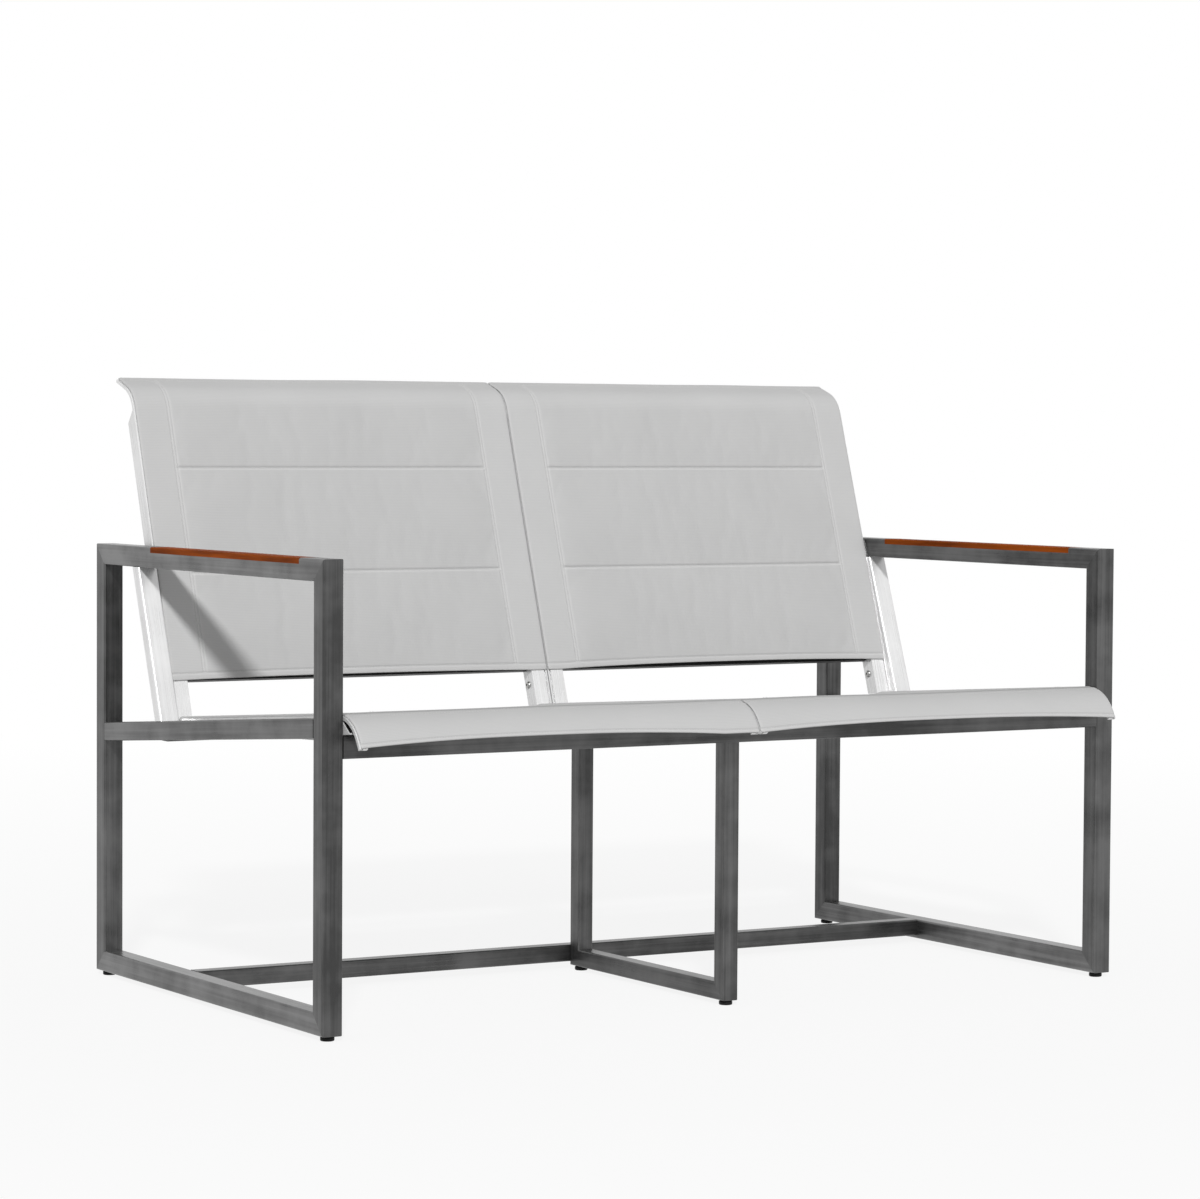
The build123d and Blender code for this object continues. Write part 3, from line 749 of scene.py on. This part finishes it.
def rgb(colour, times=1.0):
    """Colour with alpha, scaled."""
    return (colour[0] * times, colour[1] * times, colour[2] * times, 1.0)


def brushed_metal(name, colour, axis, tilt, rough, contrast, metallic=1.0):
    """Metal with fine streaks along an axis, broad streaks, patches, a slow drift of tone and a
    grain in its roughness."""
    finish = Finish(name)
    fine, broad = [1400.0] * 3, [160.0] * 3
    fine[axis], broad[axis] = 7.0, 2.5
    streak = finish.object_noise(fine, 3.0, tilt)
    band = finish.object_noise(broad, 2.0, tilt)
    patch = finish.object_noise((22.0, 22.0, 22.0), 3.0)
    drift = finish.object_noise((4.5, 4.5, 4.5), 1.0)
    tone = streak * 0.16 + band * 0.28 + patch * 0.3 + drift * 0.26
    tone = (tone * 5.5 - 2.25).within(0.0, 1.0)
    return finish.set(
        Base_Color=finish.mix(tone, rgb(colour, 1 - contrast), rgb(colour, 1 + contrast)),
        Metallic=metallic,
        Roughness=rough + (streak - 0.5) * 0.22 + (patch - 0.5) * 0.16,
        Normal=finish.bump(streak, 0.12, 0.0002),
    )


def quilted_cloth(name, colours):
    """Coated cross weave: rows of weft along the width, finer warp, darker over the padding, with
    painted seam shade and highlight.
    """
    finish = Finish(name)
    place = finish.node("ShaderNodeUVMap", {"uv_map": "cloth"})
    parts = finish.node("ShaderNodeSeparateXYZ", {}, {"Vector": place})
    along = Field(finish.tree, parts.socket.node.outputs[1])
    padding = finish.node("ShaderNodeAttribute", {"attribute_name": "padding"}, output=2)
    seam = finish.node("ShaderNodeAttribute", {"attribute_name": "seam"}, output=2)
    # Painted shade in the seams and a painted highlight beside them, scaling the cloth's colour
    darker = seam.math("MAXIMUM", seam, 0.0) * colours.seam_painted_shade
    painted_highlight_part = seam.math("MINIMUM", seam, 0.0) * colours.seam_painted_highlight
    line = 1 - darker - painted_highlight_part
    weft = along.math("SINE", along * (2 * math.pi / WEFT_PITCH)) * 0.5 + 0.5
    warp = parts.math("SINE", parts * (2 * math.pi / WARP_PITCH)) * 0.5 + 0.5
    slub = finish.noise(place, (60.0, 900.0, 1.0), 2.0)
    cloud = finish.noise(place, (9.0, 9.0, 9.0), 3.0)
    weave = weft * 0.55 + warp * 0.2 + slub * 0.25
    plain = finish.mix(padding, rgb(colours.band), rgb(colours.cloth))
    tone = weave * 0.55 + cloud * 0.45
    dark = finish.node(
        "ShaderNodeMix",
        {"data_type": "RGBA", "blend_type": "MULTIPLY"},
        {0: 1.0, 6: plain, 7: finish.mix(tone, rgb((0.9, 0.9, 0.9)), rgb((1.1, 1.1, 1.095)))},
        2,
    )
    sewn = finish.node("ShaderNodeVectorMath", {"operation": "SCALE"}, {0: dark, "Scale": line})
    return finish.set(
        Base_Color=sewn,
        Roughness=0.74 + 0.14 * weave,
        Normal=finish.bump(weave, 0.35, 0.0003),
        Sheen_Weight=0.08,
        Specular_IOR_Level=0.3,
    )


def sewing_thread(name, colour):
    """Twisted thread: a fine diagonal twist in colour and height."""
    finish = Finish(name)
    twist = finish.object_noise((900.0, 900.0, 900.0), 2.0)
    return finish.set(
        Base_Color=finish.mix(twist, rgb(colour, 0.85), rgb(colour, 1.12)),
        Roughness=0.6 + 0.2 * twist,
        Normal=finish.bump(twist, 0.3, 0.0002),
    )


def oiled_wood(name, colours):
    """Hardwood with grain along the arm: slow figure, fine pores and a thin oil."""
    finish = Finish(name)
    figure = finish.object_noise((70.0, 4.0, 70.0), 4.0)
    pores = finish.object_noise((1500.0, 24.0, 1500.0), 2.0)
    slow = finish.object_noise((9.0, 2.5, 9.0), 2.0)
    grain = figure * 0.6 + pores * 0.25 + slow * 0.15
    grain = (grain * 3.4 - 1.2).within(0.0, 1.0)
    return finish.set(
        Base_Color=finish.mix(grain, rgb(colours.wood_dark), rgb(colours.wood_light)),
        Roughness=0.5 + 0.2 * pores,
        Normal=finish.bump(pores * 0.6 + figure * 0.4, 0.25, 0.0004),
        Specular_IOR_Level=0.04,
    )


def moulded_plastic(name, colour, rough):
    """Moulded plastic with a fine spark-eroded grain."""
    finish = Finish(name)
    grain = finish.object_noise((1300.0, 1300.0, 1300.0), 2.0)
    scuff = finish.object_noise((90.0, 90.0, 30.0), 3.0)
    return finish.set(
        Base_Color=finish.mix(scuff, rgb(colour, 0.8), rgb(colour, 1.3)),
        Roughness=rough + 0.2 * (scuff - 0.5),
        Normal=finish.bump(grain, 0.2, 0.0002),
        Specular_IOR_Level=0.12,
    )


def metres(name, default, description):
    """Property for one length."""
    return bpy.props.FloatProperty(name=name, description=description, default=default, unit="LENGTH")


def two_metres(name, default, description):
    """Property for two lengths."""
    return bpy.props.FloatVectorProperty(
        name=name, description=description, size=2, default=default, unit="LENGTH"
    )


def portion(name, default, description):
    """Property for a share of the whole."""
    return bpy.props.FloatProperty(name=name, description=description, default=default, subtype="FACTOR")


def tint(name, default, description):
    """Property for a linear colour."""
    return bpy.props.FloatVectorProperty(
        name=name, description=description, default=default, subtype="COLOR"
    )


class LoveseatSlingSizes(bpy.types.PropertyGroup):
    """Sizes of the quilted slings and their stitching."""

    def seam_lines(self):
        """The two upright seams, measured inwards from the edge of the padding."""
        return (-self.seam_pair / 2, self.seam_pair / 2)

    thickness: metres("Thickness", 0.003, "Cloth over the rails")
    back_crown: metres("Back crown", 0.004, "Front swell of the back padding")
    back_belly: metres("Back belly", 0.007, "Rear swell of the back padding")
    seat_crown: metres("Seat crown", 0.0025, "Upper swell of the seat padding")
    seat_belly: metres("Seat belly", 0.009, "Lower swell of the seat padding")
    channel_depth: metres("Seam depth", 0.003, "Padding behind the seams")
    seat_sag: metres("Seat sag", 0.034, "Drop of the seat between its rails")
    sag_reach: metres("Sag reach", 0.153, "Distance behind the roll to full sag")
    back_quilting: two_metres("Back quilting", (0.1592, 0.3184), "Quilting seams along the back")
    back_arch: two_metres("Back arch", (0.0028, 0.0047), "Rise of the lower hem, left and right")
    seat_arch: metres("Lip arch", 0.009, "Rise of the seat's front hem")
    seat_bow: two_metres("Lip bow", (0.058, 0.006), "Start of the lip's arch, left and right")
    hem: metres("Hem", 0.0095, "Hem seam from the edge")
    lip_hem: metres("Lip hem", 0.005, "Front hem's seam from the edge")
    crest_seam: metres("Crest seam", 0.057, "Seam on the front roll")
    crest: metres("Crest", 0.0690, "Seam at the top of the front roll")
    # Painted shade in the cloth's colour along the crest seam
    painted_crest_shade: bpy.props.FloatProperty(
        name="Crest shade", description="Depth of shade in the crest seam", default=1.9
    )
    crease: metres("Crease", 0.0018, "Depth of the quilting creases")
    pucker: metres("Pucker", 0.00022, "Height of the puckers beside a seam")
    unevenness: metres("Unevenness", 0.0006, "Slow unevenness of the cloth")
    seam_pair: metres("Seam pair", 0.004, "Space between the two upright seams")
    stitch_pitch: metres("Stitch pitch", 0.0042, "From stitch to stitch")
    stitch_length: metres("Stitch length", 0.0032, "Length of one stitch")
    stitch_thick: metres("Stitch thickness", 0.0009, "Thread thickness")
    grid: metres("Grid", 0.005, "Spacing of the mesh")
    cell: metres("Cell", 0.0065, "Spacing of the simulated skins")
    fade: metres("Fade", 0.03, "Run-out of the padding at its upper end")
    fill: portion("Fill", 0.85, "How tightly the slings are drawn")


class LoveseatFittingSizes(bpy.types.PropertyGroup):
    """Sizes of the bolts and glides."""

    bolt: metres("Bolt", 0.003, "Radius of the shank")
    head: metres("Head", 0.0055, "Radius of the button head")
    head_tall: metres("Head height", 0.0033, "Height of the button head")
    socket: metres("Socket", 0.002, "Half the key size")
    seat_bolt_along: metres("Seat bolt", 0.363, "Place of the seat rails' bolts along the rails")
    seat_bolt_drop: metres("Seat bolt drop", 0.014, "Seat rails' bolts below the sling")
    glide: metres("Glide", 0.0095, "Radius of the glides")
    glide_tall: metres("Glide height", 0.007, "Height of the glides")


class LoveseatColours(bpy.types.PropertyGroup):
    """Colours of the finishes, as linear values."""

    steel: tint("Steel", (0.136, 0.136, 0.136), "Brushed frame")
    # Partly a painted reflection of the bright sky on the uprights' fronts
    upright: tint("Uprights", (0.80, 0.80, 0.80), "Satin uprights")
    # Back bars, near black partly to paint the shade under the slings' hems
    bar: tint("Bars", (0.025, 0.025, 0.025), "Dark back bars")
    rail: tint("Rails", (0.80, 0.80, 0.80), "Sling rails")
    cloth: tint("Cloth", (0.535, 0.535, 0.535), "Padded cloth")
    band: tint("Bands", (0.565, 0.565, 0.565), "Side bands of the cloth")
    thread: tint("Thread", (0.64, 0.64, 0.635), "Stitching")
    # Painted shade in the seams and painted highlight beside them, as shares of the cloth's colour
    seam_painted_shade: portion("Seam shade", 0.2, "Darkening in the seams")
    seam_painted_highlight: portion("Seam edge", 0.16, "Lightening beside the seams")
    wood_dark: tint("Wood dark", (0.055, 0.009, 0.0015), "Dark grain")
    wood_light: tint("Wood light", (0.37, 0.076, 0.006), "Light grain")
    glide: tint("Glides", (0.012, 0.012, 0.012), "Black plastic")
    cord: tint("Splines", (0.55, 0.55, 0.54), "Pale plastic")
    bolt: tint("Bolts", (0.45, 0.45, 0.44), "Stainless bolts")


class LoveseatStage(bpy.types.PropertyGroup):
    """Light, floor and camera."""

    sun: bpy.props.FloatProperty(
        name="Key light", description="Strength of the key light", default=2.15
    )
    sun_from: bpy.props.FloatVectorProperty(
        name="Key direction", description="Towards the key light", default=(-0.403, -0.735, 0.545)
    )
    softness: bpy.props.FloatProperty(
        name="Softness", description="Angle of the key light", default=0.09, subtype="ANGLE"
    )
    ambient: portion("Fill light", 0.36, "Even light from all sides")
    floor: portion("Floor", 0.87, "Own brightness of the floor")


class LOVESEAT_OT_back_slings(bpy.types.Operator):
    """Sew the two back slings"""

    bl_idname = "loveseat.back_slings"
    bl_label = "Back slings"

    def execute(self, context):
        sew_slings(context.scene, "back", BACK_RUN)
        return {"FINISHED"}


class LOVESEAT_OT_seat_slings(bpy.types.Operator):
    """Sew the two seat slings"""

    bl_idname = "loveseat.seat_slings"
    bl_label = "Seat slings"

    def execute(self, context):
        sew_slings(context.scene, "seat", SEAT_RUN)
        return {"FINISHED"}


class LOVESEAT_OT_bolts(bpy.types.Operator):
    """Turn the button-head bolts of the sling rails"""

    bl_idname = "loveseat.bolts"
    bl_label = "Rail bolts"

    # Reach past the second middle rail, flat of the head, broken edges, depth of the socket's floor
    past_middle = 0.005
    flat = 0.0026
    edge = 0.0006
    socket_floor = 0.45

    def execute(self, context):
        sizes = context.scene.loveseat_fittings
        steel = brushed_metal("bolt_steel", context.scene.loveseat_colours.bolt, 0, 0.0, 0.3, 0.12)
        low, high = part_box("back_bolts")
        spot = np.array((0.0, (low.y + high.y) / 2, (low.z + high.z) / 2))
        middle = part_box("back_rail_left_middle")
        ends = (
            (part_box("back_rail_left_end")[1].x, -1, low.x),
            (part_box("back_rail_right_end")[0].x, 1, high.x),
            (middle[0].x, 1, self.past_middle - middle[1].x),
        )
        bolts = [self.bolt(sizes, spot, face, lead, abs(tip - face)) for face, lead, tip in ends]
        piece = add_piece("back_rail_bolts", *gather(bolts), "fastener", steel, smooth=False)
        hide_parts("back_bolts")
        y, z = SEAT_RUN.at(np.array(sizes.seat_bolt_along), np.array(-sizes.seat_bolt_drop))
        spot = np.array((0.0, float(y), float(z)))
        heads = []
        for place, side in (("left_end", 1), ("left_middle", 0), ("right_middle", 1), ("right_end", 0)):
            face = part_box(f"seat_rail_{place}")[side].x
            heads.append(self.bolt(sizes, spot, face, 1 - 2 * side, 0.0))
        add_piece("seat_bolt_heads", *gather(heads), "fastener", steel, smooth=False)
        return {"FINISHED"}

    def bolt(self, sizes, spot, face, lead, length):
        """Bolt at a spot, its head on a face and any shank leading away from it along the width."""
        points, faces = turned(self.profile(sizes, length), 36, sizes.socket)
        points[:, 0] = face + lead * points[:, 0]
        return points + spot, faces

    def profile(self, sizes, length):
        """Rings from the floor of the key socket over the domed head and along any shank."""
        tall, flat, edge = sizes.head_tall, self.flat, self.edge
        floor = -tall * self.socket_floor
        dome = [
            (-tall * math.cos(t) ** 0.8, flat + (sizes.head - flat) * math.sin(t), 0.0)
            for t in np.linspace(0.0, math.pi / 2 - 0.25, 7)
        ]
        head = [(floor, edge, 0.0), (floor, 0.0, 0.97), (-tall, 0.0, 1.0), *dome]
        head += [(-0.0004, sizes.head, 0.0), (0.0, sizes.head - 0.0003, 0.0)]
        if length:
            r = sizes.bolt
            head += [(0.0, r, 0.0), (length - edge, r, 0.0), (length, r - edge, 0.0)]
        return head


class LOVESEAT_OT_glides(bpy.types.Operator):
    """Mould the six glides under the runners"""

    bl_idname = "loveseat.glides"
    bl_label = "Glides"

    # Rounding of the foot, and depth of the neck under the tube
    curve = 0.0018
    neck = 0.0012

    def execute(self, context):
        sizes = context.scene.loveseat_fittings
        plastic = moulded_plastic("glide_plastic", context.scene.loveseat_colours.glide, 0.5)
        r, tall, curve, neck = sizes.glide, sizes.glide_tall, self.curve, self.neck
        rounded = [
            (curve - curve * math.cos(t), r - curve + curve * math.sin(t), 0.0)
            for t in np.linspace(0.0, math.pi / 2, 6)
        ]
        profile = [
            (0.0, 0.5 * r, 0.0),
            *rounded,
            (tall - 0.0022, r, 0.0),
            (tall - 0.0016, r - neck / 2, 0.0),
            (tall - neck, r - neck, 0.0),
            (tall, r - neck, 0.0),
        ]
        for place in ("left", "right", "middle"):
            low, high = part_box(f"glides_{place}")
            shapes = []
            for y in (low.y + r, high.y - r):
                points, faces = turned(profile, 40)
                points = points[:, [1, 2, 0]]
                shapes.append((points + np.array(((low.x + high.x) / 2, y, low.z)), faces))
            points, faces = gather(shapes)
            piece = add_piece(f"glide_feet_{place}", points, faces, "glide", plastic, smooth=False)
            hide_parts(f"glides_{place}")
        return {"FINISHED"}


class LOVESEAT_OT_finishes(bpy.types.Operator):
    """Give every tube, rail, inlay and spline its finish"""

    bl_idname = "loveseat.finishes"
    bl_label = "Frame finishes"

    def execute(self, context):
        colours = context.scene.loveseat_colours
        # One brushed steel in lit and dimmed copies: the streaks follow each tube's axis, while the
        # factors on its colour paint how much light each set of tubes reflects, down to painted shade on
        # the middle runner
        steel = [
            brushed_metal(f"frame_steel_{axis}", rgb(colours.steel, times), k, 0.0, 0.32, 0.42, 0.75)
            for k, (axis, times) in enumerate((("x", 0.66), ("y", 1.0), ("z", 0.7)))
        ]
        sloped = brushed_metal("frame_steel_sloped", rgb(colours.steel, 0.86), 1, 4.31, 0.32, 0.42, 0.75)
        steel_painted_shade = brushed_metal("frame_steel_under", rgb(colours.steel, 0.66), 1, 0.0, 0.32, 0.42, 0.75)
        # Pale satin for the uprights, posts and plates, partly their own finish and partly a painted
        # reflection of the bright sky on their sloping fronts
        upright_satin_and_painted_sky = brushed_metal("upright_metal", colours.upright, 2, 20.0, 0.3, 0.08, 0.3)
        back_metal = brushed_metal("back_rail_metal", colours.rail, 2, 18.5, 0.28, 0.06, 0.3)
        seat_metal = brushed_metal("seat_rail_metal", colours.rail, 1, 4.31, 0.28, 0.06, 0.3)
        # Dark steel for the back bars, darkened further to paint the shade under the hems of the back
        # slings
        shaded_bar_metal = brushed_metal("shaded_bar_metal", colours.bar, 0, 0.0, 0.45, 0.2, 0.6)
        wood = oiled_wood("inlay_wood", colours)
        cord = moulded_plastic("spline_plastic", colours.cord, 0.55)
        finishes = (
            (wood, ("arm_inlay",)),
            (shaded_bar_metal, ("back_bar",)),
            (back_metal, ("back_rail",)),
            (seat_metal, ("seat_rail",)),
            (cord, ("back_spline", "seat_spline")),
            (upright_satin_and_painted_sky, ("back_upright", "centre_post", "rail_plate")),
            (steel[0], ("floor_stretcher", "front_rail", "rear_rail")),
            (steel[1], ("arm_rail", "runner")),
            (steel[2], ("front_leg", "middle_front_leg", "middle_rear_leg", "rear_leg")),
            (steel_painted_shade, ("middle_runner",)),
            (sloped, ("middle_top_rail", "side_rail")),
        )
        for name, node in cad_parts.items():
            if node.hide_render:
                continue
            fits = [material for material, starts in finishes if name.startswith(starts)]
            if not fits:
                raise RuntimeError(f"no finish for {name}")
            node.data.materials.clear()
            node.data.materials.append(fits[0])
        return {"FINISHED"}


class LOVESEAT_OT_stage(bpy.types.Operator):
    """Set the floor, the light and the camera"""

    bl_idname = "loveseat.stage"
    bl_label = "Stage"

    camera_place = (-2.93792, FRONT - 4.53579, 0.80492)
    camera_lens = 116.978
    camera_width = 36.0
    camera_turn = (30.827, 2.509, 0.3442)
    floor_reach = 60.0

    def execute(self, context):
        scene = context.scene
        settings = scene.loveseat_stage
        scene.view_settings.view_transform = "Standard"
        self.set_floor(settings)
        self.set_light(scene, settings)
        self.set_camera(scene)
        return {"FINISHED"}

    def set_floor(self, settings):
        """Wide white floor that takes the shadow; seen directly, most of its white is its own, and
        all of it from a few paces off."""
        finish = Finish("floor_white")
        tree = finish.tree
        grain = finish.object_noise((40.0, 40.0, 40.0), 2.0)
        finish.set(
            Base_Color=finish.mix(grain, rgb((0.79, 0.79, 0.79)), rgb((0.81, 0.81, 0.81))),
            Roughness=0.9,
            Specular_IOR_Level=0.1,
        )
        glow = finish.node("ShaderNodeEmission", {}, {"Color": (1.0, 1.0, 1.0, 1.0), "Strength": 1.0})
        seen = plain_rays(tree)
        place = finish.node("ShaderNodeTexCoord", output=3)
        away = finish.node("ShaderNodeVectorMath", {"operation": "LENGTH"}, {0: place}, "Value")
        away = away.math("SMOOTH_MIN", (away - 1.0) * 0.3, 1.0, 0.1)
        own = settings.floor + (1 - settings.floor) * away.math("MAXIMUM", away, 0.0)
        body = Field(tree, finish.shader.outputs[0])
        blend = finish.node("ShaderNodeMixShader", {}, {0: seen * own, 1: body, 2: glow})
        tree.links.new(blend.socket, tree.nodes["Material Output"].inputs["Surface"])
        far = self.floor_reach
        mesh = bpy.data.meshes.new("floor")
        corners = [(-far, -far, 0), (far, -far, 0), (far, far, 0), (-far, far, 0)]
        mesh.from_pydata(corners, [], [(0, 1, 2, 3)])
        mesh.materials.append(finish.material)
        floor = bpy.data.objects.new("floor", mesh)
        bpy.context.scene.collection.objects.link(floor)

    def set_light(self, scene, settings):
        """Soft key light from the front left and an even white world."""
        lamp = bpy.data.lights.new("key_light", "SUN")
        lamp.energy = settings.sun
        lamp.angle = settings.softness
        key = bpy.data.objects.new("key_light", lamp)
        scene.collection.objects.link(key)
        key.matrix_world = Vector(settings.sun_from).to_track_quat("Z", "Y").to_matrix().to_4x4()
        world = bpy.data.worlds.new("white_room")
        world.use_nodes = True
        scene.world = world
        tree = world.node_tree
        seen = plain_rays(tree)
        background = tree.nodes["Background"]
        feed(tree, background.inputs["Color"], (1.0, 1.0, 1.0, 1.0))
        feed(tree, background.inputs["Strength"], settings.ambient + seen * (1.0 - settings.ambient))

    def set_camera(self, scene):
        """Camera by place, turn about the vertical, downward tilt and roll."""
        yaw, pitch, roll = (math.radians(v) for v in self.camera_turn)
        turns = ((-yaw, "Z"), (math.pi / 2 - pitch, "X"), (roll, "Z"))
        matrix = Matrix.Translation(self.camera_place)
        for angle, axis in turns:
            matrix = matrix @ Matrix.Rotation(angle, 4, axis)
        lens = bpy.data.cameras.new("camera")
        lens.sensor_fit = "HORIZONTAL"
        lens.sensor_width = self.camera_width
        lens.lens = self.camera_lens
        lens.clip_end = 200.0
        camera = bpy.data.objects.new("camera", lens)
        scene.collection.objects.link(camera)
        camera.matrix_world = matrix
        scene.camera = camera


OPERATORS = (
    LOVESEAT_OT_back_slings,
    LOVESEAT_OT_seat_slings,
    LOVESEAT_OT_bolts,
    LOVESEAT_OT_glides,
    LOVESEAT_OT_finishes,
    LOVESEAT_OT_stage,
)


class LOVESEAT_PT_panel(bpy.types.Panel):
    """Makers of the loveseat's pieces"""

    bl_idname = "LOVESEAT_PT_panel"
    bl_label = "Loveseat"
    bl_space_type = "VIEW_3D"
    bl_region_type = "UI"
    bl_category = "Loveseat"

    def draw(self, context):
        for operator in OPERATORS:
            self.layout.operator(operator.bl_idname)


GROUPS = (
    ("loveseat_slings", LoveseatSlingSizes),
    ("loveseat_fittings", LoveseatFittingSizes),
    ("loveseat_colours", LoveseatColours),
    ("loveseat_stage", LoveseatStage),
)


def register():
    for name, group in GROUPS:
        bpy.utils.register_class(group)
        setattr(bpy.types.Scene, name, bpy.props.PointerProperty(type=group))
    for operator in OPERATORS:
        bpy.utils.register_class(operator)
    bpy.utils.register_class(LOVESEAT_PT_panel)


def unregister():
    bpy.utils.unregister_class(LOVESEAT_PT_panel)
    for operator in reversed(OPERATORS):
        bpy.utils.unregister_class(operator)
    for name, group in reversed(GROUPS):
        delattr(bpy.types.Scene, name)
        bpy.utils.unregister_class(group)


def main():
    register()
    bpy.ops.loveseat.back_slings()
    bpy.ops.loveseat.seat_slings()
    bpy.ops.loveseat.bolts()
    bpy.ops.loveseat.glides()
    bpy.ops.loveseat.finishes()
    bpy.ops.loveseat.stage()


if __name__ == "__main__":
    main()
